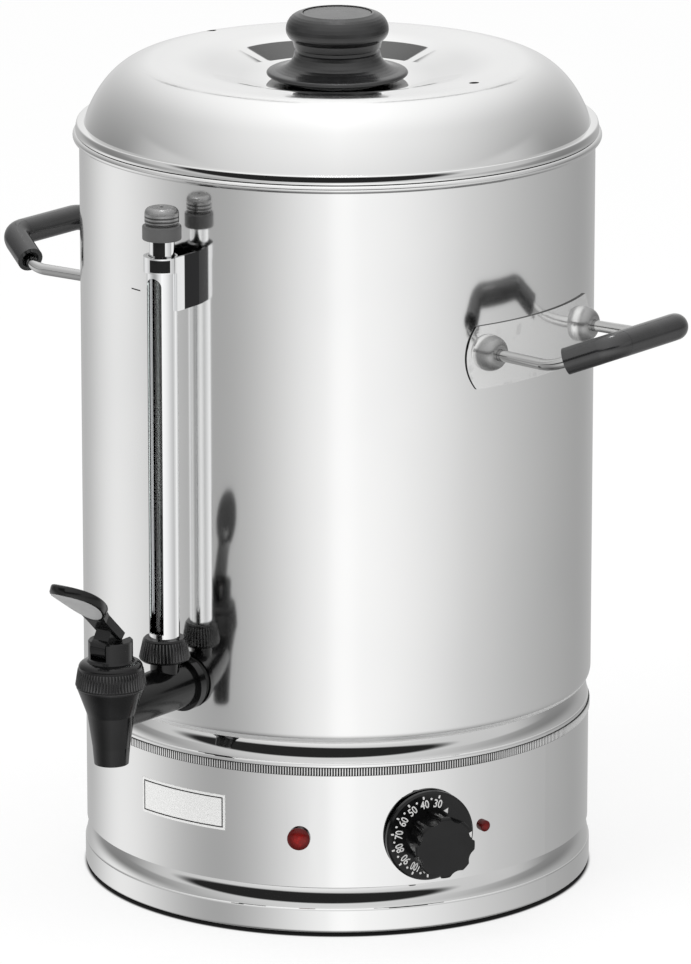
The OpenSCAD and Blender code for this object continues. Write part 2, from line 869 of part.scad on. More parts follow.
module dial_grip() {
    lean = atan((dial_grip_d - dial_face_d) / 2 / dial_grip_h);
    round_r = 1.5;
    foot = dial_grip_d / 2;
    face = dial_face_d / 2;
    color(black)
        facing(dial_a, control_z)
            translate([0, 0, grip_back])
                difference() {
                    rotate_extrude()
                        polygon(concat(
                            [[0, 0], [foot, 0]],
                            arc([face - round_r, dial_grip_h - round_r], round_r, round_r, lean, 90, 5),
                            [[0, dial_grip_h]]));
                    for (i = [0:dial_flutes - 1])
                        rotate([0, 0, (i + 0.5) * 360 / dial_flutes])
                            translate([foot + flute_d / 2 - 2.2, 0, 0])
                                rotate([0, -lean, 0])
                                    translate([0, 0, -flute_d])
                                        cylinder(d = flute_d, h = dial_grip_h + 2 * flute_d);
                    translate([0, 0, -eps])
                        cylinder(d = shaft_d + 2 * slip_fit, h = dial_grip_h * 0.6 + clear);
                }
}

// Lamps and inlet

module against_panel() {
    difference() {
        children();
        rotate([90, 0, 0])
            cylinder(r = panel_r + slip_fit, h = 4 * lamp_d, center = true, $fn = wall_fn);
    }
}

module lamp_housing(a, d) {
    barrel_d = barrel_share * d;
    bore = 0.74 * d;
    color(black)
        facing(a, control_z)
            difference() {
                union() {
                    against_panel()
                        translate([0, 0, panel_r - lamp_rim_t])
                            cylinder(d = d, h = 2 * lamp_rim_t);
                    translate([0, 0, panel_r - 2 * d])
                        cylinder(d = barrel_d, h = 2 * d + lamp_rim_t);
                    translate([0, 0, panel_inner_r - 3])
                        cylinder(d = d, h = 3 - d * d / 8 / panel_inner_r - slip_fit);
                }
                translate([0, 0, panel_r - d / 4])
                    cylinder(d = bore, h = d);
            }
}

module lamp_lens(a, d) {
    r = 0.37 * d - slip_fit;
    cap_r = d / 2;
    back = panel_r - d / 4;
    rise = panel_r + lamp_rim_t + slip_fit - back;
    color(red)
        facing(a, control_z)
            translate([0, 0, back])
                rotate_extrude()
                    polygon(concat(
                        [[0, 0], [r, 0], [r, rise], [cap_r, rise]],
                        arc([0, rise + 0.6], cap_r, 0.2 * d, 0, 90)));
}

module heating_lamp_lens() { lamp_lens(lamp_a, lamp_d); }
module heating_lamp_housing() { lamp_housing(lamp_a, lamp_d); }
module power_lamp_lens() { lamp_lens(pilot_a, pilot_d); }
module power_lamp_housing() { lamp_housing(pilot_a, pilot_d); }

// Outline of the socket with its two cut corners, grown by extra, from one radius to another
module socket_box(extra, from, to) {
    cut = socket_h / 4;
    x = socket_w / 2 + extra;
    y = socket_h / 2 + extra;
    translate([0, 0, from])
        linear_extrude(to - from)
            polygon([[-x, -y], [x, -y], [x, y - cut], [x - cut, y], [cut - x, y], [-x, y - cut]]);
}

module inlet_holes(from, to) {
    for (x = [-inlet_pitch / 2, inlet_pitch / 2])
        translate([x, 0, from])
            cylinder(d = foot_screw_d + 2 * slip_fit, h = to - from);
}

function prong_places() = [[-socket_w / 3.4, -socket_h / 8], [0, socket_h / 8], [socket_w / 3.4, -socket_h / 8]];

module prongs(grow, from, to) {
    for (p = prong_places())
        translate([p.x - prong_t / 2 - grow, p.y - prong_w / 2 - grow, from])
            cube([prong_t + 2 * grow, prong_w + 2 * grow, to - from]);
}

module power_inlet() {
    back = socket_floor - inlet_wall;
    color(black)
        facing(180, control_z)
            difference() {
                union() {
                    difference() {
                        translate([-inlet_w / 2, -inlet_h / 2, panel_r - 4])
                            cube([inlet_w, inlet_h, inlet_mouth - panel_r + 4]);
                        rotate([90, 0, 0])
                            cylinder(r = panel_r + slip_fit, h = 2 * inlet_h, center = true, $fn = wall_fn);
                    }
                    socket_box(inlet_wall, back, inlet_mouth);
                }
                socket_box(0, socket_floor, inlet_mouth + 1);
                prongs(slip_fit / 2, back - 1, socket_floor + 1);
                inlet_holes(panel_r - 8, inlet_mouth + 1);
            }
}

module inlet_pins() {
    color(brass)
        facing(180, control_z)
            prongs(0, socket_floor - inlet_wall - 8, socket_floor + prong_l);
}

module inlet_screws() {
    color(dark_steel)
        facing(180, control_z)
            for (x = [-inlet_pitch / 2, inlet_pitch / 2])
                translate([x, 0, inlet_mouth]) {
                    cylinder(d = 1.8 * foot_screw_d, h = 1.8);
                    translate([0, 0, -12])
                        cylinder(d = foot_screw_d, h = 12);
                }
}

// Handles: modelled on the +X side, then turned into their own directions

// The rod's half on the +Y side, from the wall to the end of the corner
module rod_half(r) {
    translate(rod_start)
        heading(stub_way, leg_way)
            welded_bar(r, stub_l);
    translate(bend_at)
        heading(stub_way, leg_way)
            bend(r, rod_bend_r, acos(stub_way * leg_way));
    translate(leg_at)
        heading(leg_way, grip_way)
            welded_bar(r, leg_l);
    translate(corner_at)
        heading(leg_way, grip_way)
            bend(r, grip_bend_r, acos(leg_way * grip_way));
}

// The straight middle of the rod or the grip
module grip_bar(r) {
    translate([grip_at.x, -grip_at.y, grip_at.z])
        rotate([0, 0, 90])
            welded_bar(r, 2 * grip_at.y);
}

module rod_path(r) {
    both_sides()
        rod_half(r);
    grip_bar(r);
}

module handle_rod() {
    color(steel)
        translate([0, 0, handle_z])
            rod_path(rod_r);
}

module handle_grip() {
    r = grip_d / 2;
    color(black)
        translate([0, 0, handle_z])
            difference() {
                union() {
                    both_sides()
                        translate(corner_at)
                            heading(leg_way, grip_way) {
                                translate([-grip_lap, 0, 0])
                                    bar(r, grip_lap + weld);
                                bend(r, grip_bend_r, acos(leg_way * grip_way));
                            }
                    grip_bar(r);
                }
                rod_path(rod_r + slip_fit);
                both_sides()
                    translate(corner_at - (grip_lap + eps) * leg_way)
                        heading(leg_way, grip_way)
                            bar(grip_mouth_d / 2, grip_mouth_h + eps);
            }
}

// Flat outline of a plate: a bar whose ends are wide arcs
module plate_outline() {
    reach = plate_w / 2 - plate_end_r;
    intersection() {
        square([plate_w, plate_h], center = true);
        union() {
            for (x = [-reach, reach])
                translate([x, 0])
                    circle(plate_end_r);
            square([2 * reach, plate_h], center = true);
        }
    }
}

module handle_plate() {
    in_r = tank_r + slip_fit / 2;
    color(steel)
        difference() {
            union() {
                intersection() {
                    translate([0, 0, handle_z - plate_h])
                        difference() {
                            cylinder(r = in_r + plate_t, h = 2 * plate_h, $fn = wall_fn);
                            translate([0, 0, -eps])
                                cylinder(r = in_r, h = 2 * plate_h + 2 * eps, $fn = wall_fn);
                        }
                    translate([0, 0, handle_z - plate_drop])
                        rotate([90, 0, 90])
                            linear_extrude(2 * tank_r)
                                plate_outline();
                }
                difference() {
                    translate([0, 0, handle_z])
                        both_sides()
                            translate(tank_r * [cos(boss_a), sin(boss_a), 0])
                                rotate([0, 90, stub_a])
                                    boss();
                    translate([0, 0, handle_z - plate_h])
                        cylinder(r = in_r + plate_t / 2, h = 2 * plate_h, $fn = wall_fn);
                }
            }
            translate([0, 0, handle_z])
                both_sides()
                    translate(rod_start - boss_h * stub_way)
                        heading(stub_way, leg_way)
                            bar(rod_r + slip_fit, 3 * boss_h);
        }
}

// Domed boss, drawn out of the plate round the rod
module boss() {
    foot = boss_d / 2;
    tip = boss_tip_d / 2;
    top = plate_t + boss_h;
    sunk = foot * tan(boss_a - stub_a) + 1;
    rotate_extrude()
        polygon(concat(
            [[0, -sunk], [foot, -sunk]],
            arc([tip, plate_t], foot - tip, boss_h, 0, 90),
            [[0, top]]));
}

module right_handle_plate() { rotate([0, 0, handle_a - 90]) handle_plate(); }
module right_handle_rod() { rotate([0, 0, handle_a - 90]) handle_rod(); }
module right_handle_grip() { rotate([0, 0, handle_a - 90]) handle_grip(); }
module left_handle_plate() { rotate([0, 0, handle_a + 90]) handle_plate(); }
module left_handle_rod() { rotate([0, 0, handle_a + 90]) handle_rod(); }
module left_handle_grip() { rotate([0, 0, handle_a + 90]) handle_grip(); }

// Sight gauge

module on_gauge(z) {
    translate([0, -gauge_r, z])
        children();
}

module gauge_guard() {
    h = guard_top - guard_z;
    color(steel)
        on_gauge(guard_z)
            difference() {
                cylinder(d = guard_d, h = h);
                translate([0, 0, -eps])
                    cylinder(d = guard_d - 2 * guard_wall, h = h + 2 * eps);
                translate([-slot_w / 2, -guard_d, slot_foot])
                    cube([slot_w, guard_d, h - slot_foot - slot_head - slot_w / 2]);
                translate([0, 0, h - slot_head - slot_w / 2])
                    rotate([90, 0, 0])
                        cylinder(d = slot_w, h = guard_d);
            }
}

module gauge_glass() {
    h = glass_top - glass_z;
    color([0.85, 0.92, 0.95, 0.4])
        on_gauge(glass_z)
            difference() {
                cylinder(d = glass_d, h = h);
                translate([0, 0, -eps])
                    cylinder(d = glass_d - 2 * glass_wall, h = h + 2 * eps);
            }
}

module gauge_bracket() {
    in_r = guard_d / 2 + slip_fit;
    out_r = in_r + bracket_t;
    color(steel)
        difference() {
            translate([0, 0, bracket_z - cheek_h])
                union() {
                    translate([0, -gauge_r, cheek_h - strap_h])
                        cylinder(r = out_r, h = strap_h);
                    translate([-out_r, -gauge_r, 0])
                        cube([2 * out_r, gauge_out + tank_wall, cheek_h]);
                }
            translate([0, -gauge_r, 0])
                cylinder(r = in_r, h = rim_z);
            translate([-in_r, -gauge_r, 0])
                cube([2 * in_r, gauge_out, rim_z]);
            cylinder(r = tank_r + slip_fit / 2, h = rim_z, $fn = wall_fn);
        }
}

module gauge_neck() {
    foot = bracket_z - slot_head + clear;
    h = neck_top + cap_bore_h - clear - foot;
    color(steel)
        on_gauge(foot)
            difference() {
                cylinder(d = neck_d, h = h);
                translate([0, 0, -eps])
                    cylinder(d = glass_d + 4 * slip_fit, h = h + 2 * eps);
            }
}

module gauge_cap() {
    collar = cap_d / 2;
    crown = cap_crown_d / 2;
    bore = neck_d / 2 + slip_fit;
    groove = 0.6;
    crown_z = neck_top + cap_collar_h;
    top_z = crown_z + cap_crown_h;
    color(grey)
        on_gauge(0)
            rotate_extrude()
                polygon(concat(
                    [[1, neck_top + cap_bore_h], [bore, neck_top + cap_bore_h], [bore, neck_top]],
                    arc([collar - 0.6, neck_top + 0.6], 0.6, 0.6, -90, 0, 4),
                    arc([collar - 1, crown_z - 1], 1, 1, 0, 90, 4),
                    [[crown - groove, crown_z], [crown - groove, crown_z + 1], [crown, crown_z + 1.6]],
                    arc([crown - cap_dome_h, top_z], cap_dome_h, cap_dome_h, 0, 80, 6),
                    [[1, top_z + cap_dome_h]]));
}

module gauge_nut() {
    seat = branch_z + seal_h;
    color(black)
        on_gauge(0)
            rotate_extrude()
                polygon([
                    [branch_d / 2 + slip_fit, nut_z], [nut_d / 2 - 0.8, nut_z], [nut_d / 2, nut_z + 0.8],
                    [nut_top_d / 2, nut_z + nut_h - 0.8], [nut_top_d / 2 - 0.8, nut_z + nut_h],
                    [guard_d / 2 + slip_fit, nut_z + nut_h], [guard_d / 2 + slip_fit, seat],
                    [branch_d / 2 + slip_fit, seat]]);
}

module gauge_seal() {
    color(black)
        on_gauge(branch_z)
            difference() {
                cylinder(d = branch_d, h = seal_h);
                translate([0, 0, -eps])
                    cylinder(d = glass_d + 2 * slip_fit, h = seal_h + 2 * eps);
            }
}

// Tap

module on_valve(z) {
    translate([0, -valve_r, z])
        children();
}

// Outside and inside of the valve body, turned about its own axis
module valve_outside() {
    waist_z = tap_z - bore_d / 2 + valve_rise / 3;
    rotate_extrude()
        polygon([
            [0, spout_z], [spout_d / 2, spout_z], [spout_d / 2 + 0.8, spout_z + spout_drop / 3],
            [valve_neck_r - 3, waist_z], [valve_d / 2, valve_top - 1], [valve_d / 2, valve_top],
            [valve_neck_r, valve_top], [valve_neck_r, valve_top + neck_rise], [0, valve_top + neck_rise]]);
}

module valve_inside() {
    rotate_extrude()
        polygon([
            [0, spout_z - 1], [spout_bore_d / 2, spout_z - 1], [spout_bore_d / 2, seat_z],
            [cup_r + 0.6, seat_z], [chamber_r, valve_top], [chamber_r, valve_top + neck_rise + 1],
            [0, valve_top + neck_rise + 1]]);
}

module tap_body() {
    shank_z = tank_r - shank_in;
    color(black)
        difference() {
            union() {
                on_valve(0)
                    valve_outside();
                facing(0, tap_z) {
                    translate([0, 0, shank_z])
                        cylinder(d = shank_d, h = shank_in + gasket_t + 1);
                    translate([0, 0, flange_back])
                        cylinder(d = flange_d, h = flange_t);
                }
                difference() {
                    facing(0, tap_z)
                        translate([0, 0, flange_back])
                            cylinder(d1 = pipe_d, d2 = pipe_tip_d, h = valve_r - flange_back);
                    on_valve(valve_top)
                        cylinder(d = bonnet_d + 2 * clear, h = pipe_d);
                }
                on_gauge(tap_z)
                    cylinder(d = branch_d, h = branch_h);
            }
            on_valve(0)
                valve_inside();
            facing(0, tap_z)
                translate([0, 0, shank_z - 1])
                    cylinder(d = bore_d, h = valve_r - shank_z + 1);
            on_gauge(tap_z)
                cylinder(d = glass_d - 2, h = branch_h + 1);
            on_gauge(glass_z - slip_fit)
                cylinder(d = glass_d + 2 * slip_fit, h = branch_h);
        }
}

module tap_outer_gasket() {
    color("dimgray")
        difference() {
            facing(0, tap_z)
                difference() {
                    translate([0, 0, tank_r - gasket_t])
                        cylinder(d = flange_d - 2, h = 2 * gasket_t);
                    cylinder(d = shank_d + 2 * slip_fit, h = 2 * tank_r);
                }
            translate([0, 0, base_h])
                cylinder(r = tank_r + slip_fit / 2, h = tank_h, $fn = wall_fn);
        }
}

module tap_inner_gasket() {
    color("dimgray")
        intersection() {
            facing(0, tap_z)
                difference() {
                    translate([0, 0, lock_nut_face()])
                        cylinder(d = lock_nut_w, h = 2 * gasket_t + tank_wall);
                    cylinder(d = shank_d + 2 * slip_fit, h = 2 * tank_r);
                }
            translate([0, 0, base_h])
                cylinder(r = tank_r - tank_wall - slip_fit / 2, h = tank_h, $fn = wall_fn);
        }
}

// Distance from the urn's axis to the face of the lock nut that bears on the inner gasket
function lock_nut_face() = tank_r - tank_wall - gasket_t - 1;

module tap_lock_nut() {
    color(brass)
        facing(0, tap_z)
            translate([0, 0, lock_nut_face() - lock_nut_h])
                hex_nut(lock_nut_w, lock_nut_h, shank_d + 2 * slip_fit);
}

module tap_bonnet() {
    collar = bonnet_d / 2;
    turret = turret_d / 2;
    guide = stem_d / 2 + run_fit;
    neck_room = valve_top + neck_rise + clear;
    spring_room = spring_r + wire_d / 2 + clear;
    color(black)
        difference() {
            on_valve(0)
                rotate_extrude()
                    polygon(concat(
                        [[valve_neck_r + clear, valve_top], [collar - 0.6, valve_top], [collar, valve_top + 0.6]],
                        arc([turret, bonnet_dome_z], collar - bonnet_lean - turret, bonnet_dome_h - 1, 0, 80),
                        [[turret, turret_z], [turret, turret_top - 0.6], [turret - 0.6, turret_top],
                         [guide, turret_top], [guide, spring_top + clear], [spring_room, spring_top + clear],
                         [spring_room, neck_room], [valve_neck_r + clear, neck_room]]));
            on_valve(slot_z)
                translate([-turret_slot / 2, -turret_d, 0])
                    cube([turret_slot, 2 * turret_d, turret_h + bonnet_dome_h]);
        }
}

module lever_pin() {
    half = turret_slot / 2 - 2 * clear;
    color(dark_steel)
        translate([-half, -valve_r, pivot_z])
            bar(pivot_d / 2, 2 * half);
}

// Helical spring as one swept tube
module valve_spring() {
    rings = 10;
    sides = 6;
    count = rings * spring_turns;
    rise = spring_top - spring_z - wire_d;
    function at(i) = let (a = 360 * i / rings)
        [spring_r * cos(a), spring_r * sin(a), wire_d / 2 + rise * i / count];
    points = [for (i = [0:count]) for (j = [0:sides - 1])
        let (a = 360 * i / rings, b = 360 * j / sides)
        at(i) + wire_d / 2 * [cos(b) * cos(a), cos(b) * sin(a), sin(b)]];
    skin = [for (i = [0:count - 1]) for (j = [0:sides - 1])
        let (k = (j + 1) % sides, p = i * sides + j, q = i * sides + k)
        each [[p, p + sides, q], [q, p + sides, q + sides]]];
    ends = [[for (j = [0:sides - 1]) j], [for (j = [sides - 1:-1:0]) count * sides + j]];
    color(dark_steel)
        on_valve(spring_z)
            polyhedron(points, concat(skin, ends));
}

module valve_stem() {
    foot = cup_z + 2;
    color(black)
        difference() {
            on_valve(foot)
                cylinder(d = stem_d, h = stem_top - foot);
            translate([-stem_d, -valve_r, pivot_z])
                bar(pivot_d / 2 + run_fit, 2 * stem_d);
        }
}

module valve_cup() {
    boss = stem_d / 2 + 1.6;
    color("dimgray")
        on_valve(cup_z)
            difference() {
                rotate_extrude()
                    polygon([
                        [0, 0], [cup_r - 0.6, 0], [cup_r, 0.6], [cup_r, 3], [boss, 5.5], [boss, cup_h], [0, cup_h]]);
                translate([0, 0, 2 - slip_fit])
                    cylinder(d = stem_d + 2 * slip_fit, h = cup_h);
            }
}

// Lever: forked hub and cam on the stem's pin, arm, curved paddle. Local +X points out from the urn.

module at_pivot() {
    translate([0, -valve_r, pivot_z])
        rotate([0, 0, -90])
            children();
}

// A plate of the side view's outline, as wide as w, about the middle
module side_plate(w) {
    rotate([90, 0, 0])
        linear_extrude(w, center = true)
            children();
}

// Point of the side view at s along the arm and t square to it
function on_arm(s, t) = s * [cos(arm_a), sin(arm_a)] + t * [-sin(arm_a), cos(arm_a)];

module paddle() {
    bend_r = paddle_l / paddle_bend * 180 / PI;
    mid_a = paddle_a - paddle_bend / 2;
    root = on_arm(arm_l - 2, arm_off + arm_t / 2);
    centre = root + bend_r * [sin(paddle_a), -cos(paddle_a)];
    tip_r = paddle_w / 2;
    chord = 2 * bend_r * sin(paddle_bend / 2);
    intersection() {
        translate([centre.x, 0, centre.y])
            rotate([90, 0, 0])
                difference() {
                    cylinder(r = bend_r + paddle_t / 2, h = 2 * paddle_w, center = true);
                    cylinder(r = bend_r - paddle_t / 2, h = 2 * paddle_w, center = true);
                }
        translate([root.x, 0, root.y])
            rotate([0, -mid_a, 0])
                translate([0, 0, -paddle_l])
                    linear_extrude(2 * paddle_l) {
                        translate([chord - tip_r, 0])
                            circle(tip_r);
                        polygon([
                            [0, -arm_w / 2], [chord - tip_r, -tip_r], [chord - tip_r, tip_r], [0, arm_w / 2]]);
                    }
    }
}

module tap_lever() {
    fork_w = turret_slot - 2 * clear;
    fork_in = stem_d / 2 + clear;
    fork_reach = cam_at.x + 0.5;
    fork_top = stem_top - pivot_z + 1.4;
    arm_s = (turret_top - pivot_z + clear - arm_off * cos(arm_a)) / sin(arm_a);
    color(black)
        at_pivot()
            difference() {
                union() {
                    side_plate(fork_w) {
                        circle(d = hub_d);
                        translate(cam_at)
                            circle(d = cam_d);
                        polygon([
                            [-hub_d / 2, 0], on_arm(arm_s, arm_off + arm_t), on_arm(arm_l / 2, arm_off + arm_t),
                            on_arm(arm_l / 2, arm_off), cam_at + [cam_d / 2, 0], cam_at]);
                    }
                    rotate([0, -arm_a, 0])
                        translate([arm_s, -arm_w / 2, arm_off])
                            cube([arm_l - arm_s, arm_w, arm_t]);
                    paddle();
                }
                rotate([90, 0, 0])
                    cylinder(d = pivot_d + 2 * run_fit, h = 2 * fork_w, center = true);
                translate([-2 * hub_d, -fork_in, -cam_d])
                    cube([2 * hub_d + fork_reach, 2 * fork_in, cam_d + fork_top]);
            }
}

// Lid

module lid() {
    dome_w = lid_shoulder_w / cos(lid_foot_a);
    dome_h = lid_dome_h / (1 - sin(lid_foot_a));
    line = concat(
        [[lid_rim_r, lid_z]],
        arc([lid_rim_r - lid_rim_corner, ledge_z - lid_rim_corner], lid_rim_corner, lid_rim_corner, 0, 90, 4),
        arc([crown_r, crown_z - dome_h], dome_w, dome_h, lid_foot_a, 90, 20),
        [[lid_dish_r, dish_z], [lid_floor_r, dish_floor_z], [knob_screw_d / 2 + slip_fit, dish_floor_z]]);
    color(steel)
        difference() {
            union() {
                turned_sheet(line, lid_wall);
                translate([0, 0, ledge_z - lid_wall / 2 - lid_skirt_h])
                    difference() {
                        cylinder(r = skirt_ring_r, h = lid_skirt_h);
                        translate([0, 0, -eps])
                            cylinder(r = skirt_ring_r - lid_wall, h = lid_skirt_h + 2 * eps);
                    }
            }
            for (v = [[vent_front_r, vent_front_a], [vent_rear_r, vent_rear_a]])
                rotate([0, 0, v[1] - 90])
                    translate([v[0], 0, ledge_z])
                        cylinder(d = vent_d, h = 2 * lid_dome_h);
        }
}

module lid_knob() {
    wide = knob_d / 2;
    waist = knob_waist_d / 2;
    bulb = knob_bulb_d / 2;
    cap = knob_cap_d / 2;
    lip = 1.2;
    flange_z = 5;
    waist_z = 14.5;
    groove = 1;
    bulb_z = 26.5;
    cap_seat = knob_h - 2;
    color(black)
        translate([0, 0, dish_floor_z])
            difference() {
                rotate_extrude()
                    polygon(concat(
                        [[0, 0], [wide - 12, 0], [wide - 12, 1]],
                        arc([wide - 2, flange_z - 1.4], 2, 1.4, -50, 60, 5),
                        arc([wide - 1, waist_z], wide - 1 - waist, waist_z - flange_z, 265, 180, 8),
                        [[waist - groove, waist_z + 0.6], [waist - groove, waist_z + 2.2], [waist, waist_z + 2.8]],
                        arc([bulb - 8, bulb_z], 8, bulb_z - waist_z - 5, -55, 0, 6),
                        arc([cap + lip, bulb_z], bulb - cap - lip, knob_h - bulb_z - 0.4, 0, 80, 6),
                        [[cap + lip, knob_h], [0, knob_h]]));
                translate([0, 0, cap_seat])
                    cylinder(r = cap + slip_fit, h = 2 * knob_cap_t);
                translate([0, 0, -eps])
                    cylinder(d = knob_screw_d + 2 * slip_fit, h = 20);
            }
}

module knob_cap() {
    cap = knob_cap_d / 2;
    color(grey)
        translate([0, 0, dish_floor_z + knob_h - 2])
            rotate_extrude()
                polygon([[0, 0], [cap, 0], [cap, knob_cap_t - 0.4], [cap - 0.4, knob_cap_t], [0, knob_cap_t + 0.2]]);
}

module knob_washer() {
    color(dark_steel)
        translate([0, 0, dish_floor_z - lid_wall - 1.2])
            difference() {
                cylinder(d = 3 * knob_screw_d, h = 1.2);
                translate([0, 0, -eps])
                    cylinder(d = knob_screw_d + 2 * slip_fit, h = 2);
            }
}

module knob_screw() {
    head_h = 0.7 * knob_screw_d;
    head_z = dish_floor_z - lid_wall - 1.2 - head_h;
    color(dark_steel)
        translate([0, 0, head_z]) {
            difference() {
                cylinder(d = 1.9 * knob_screw_d, h = head_h);
                translate([-knob_screw_d, -0.6, -eps])
                    cube([2 * knob_screw_d, 1.2, 1.6]);
            }
            cylinder(d = knob_screw_d, h = head_h + 1.2 + lid_wall + 18);
        }
}

tank();
base_shell();
knurled_band();
base_plate();
rubber_feet();
foot_screws();
foot_nuts();
tie_rods();
tie_nuts();
heater_plate();
heating_element();
thermal_cutout();
thermostat_body();
thermostat_screws();
sensor_bulb();
terminal_block();
heating_lamp_lens();
heating_lamp_housing();
power_lamp_lens();
power_lamp_housing();
power_inlet();
inlet_pins();
inlet_screws();
right_handle_plate();
right_handle_rod();
right_handle_grip();
left_handle_plate();
left_handle_rod();
left_handle_grip();
gauge_bracket();
gauge_guard();
gauge_glass();
gauge_neck();
gauge_cap();
gauge_nut();
gauge_seal();
tap_body();
tap_outer_gasket();
tap_inner_gasket();
tap_lock_nut();
tap_bonnet();
lever_pin();
valve_spring();
valve_stem();
valve_cup();
tap_lever();
lid();
lid_knob();
knob_cap();
knob_screw();
knob_washer();
dial_skirt();
dial_grip();
thermostat_shaft();
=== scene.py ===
"""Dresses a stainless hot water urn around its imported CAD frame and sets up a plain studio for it."""

from math import cos, degrees, hypot, pi, radians, sin, sqrt

import bmesh
import bpy
from bpy.props import FloatProperty, FloatVectorProperty, IntProperty, PointerProperty
from bpy.types import Operator, Panel, PropertyGroup
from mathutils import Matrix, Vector


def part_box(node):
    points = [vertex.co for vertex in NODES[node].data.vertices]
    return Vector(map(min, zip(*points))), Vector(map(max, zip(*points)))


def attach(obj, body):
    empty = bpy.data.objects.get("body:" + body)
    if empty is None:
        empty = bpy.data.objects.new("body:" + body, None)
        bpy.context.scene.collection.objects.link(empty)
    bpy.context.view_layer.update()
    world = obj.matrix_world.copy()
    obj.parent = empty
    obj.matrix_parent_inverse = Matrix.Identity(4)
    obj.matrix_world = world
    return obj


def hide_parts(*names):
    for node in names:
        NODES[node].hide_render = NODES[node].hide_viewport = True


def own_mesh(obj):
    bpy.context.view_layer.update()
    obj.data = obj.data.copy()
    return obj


bl_info = {
    "name": "Hot Water Urn",
    "version": (1, 0, 0),
    "blender": (4, 5, 0),
    "location": "View3D > Sidebar > Urn",
    "description": "Dresses the packed parts of a hot water urn and sets up its studio",
    "category": "Object",
}

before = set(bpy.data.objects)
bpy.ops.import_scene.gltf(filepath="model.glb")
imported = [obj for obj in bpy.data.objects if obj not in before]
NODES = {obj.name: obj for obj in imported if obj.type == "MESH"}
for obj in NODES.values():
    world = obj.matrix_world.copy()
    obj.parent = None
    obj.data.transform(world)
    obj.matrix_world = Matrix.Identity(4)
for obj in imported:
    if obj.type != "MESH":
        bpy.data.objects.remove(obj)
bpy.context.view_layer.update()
MM = 0.001
FILM = 0.3 * MM
PROUD = 0.1 * MM
FINISHES = {}


# Sizes and colours that a user would change


def length(name, description, default):
    """A length in metres, given here in millimetres."""
    return FloatProperty(name=name, description=description, default=default * MM, unit="LENGTH", precision=5)


def angle(name, description, default):
    """An angle, given here in degrees."""
    return FloatProperty(name=name, description=description, default=radians(default), subtype="ANGLE")


def colour(name, description, default):
    """A colour in linear light."""
    return FloatVectorProperty(name=name, description=description, default=default, subtype="COLOR",
                               min=0, max=1)


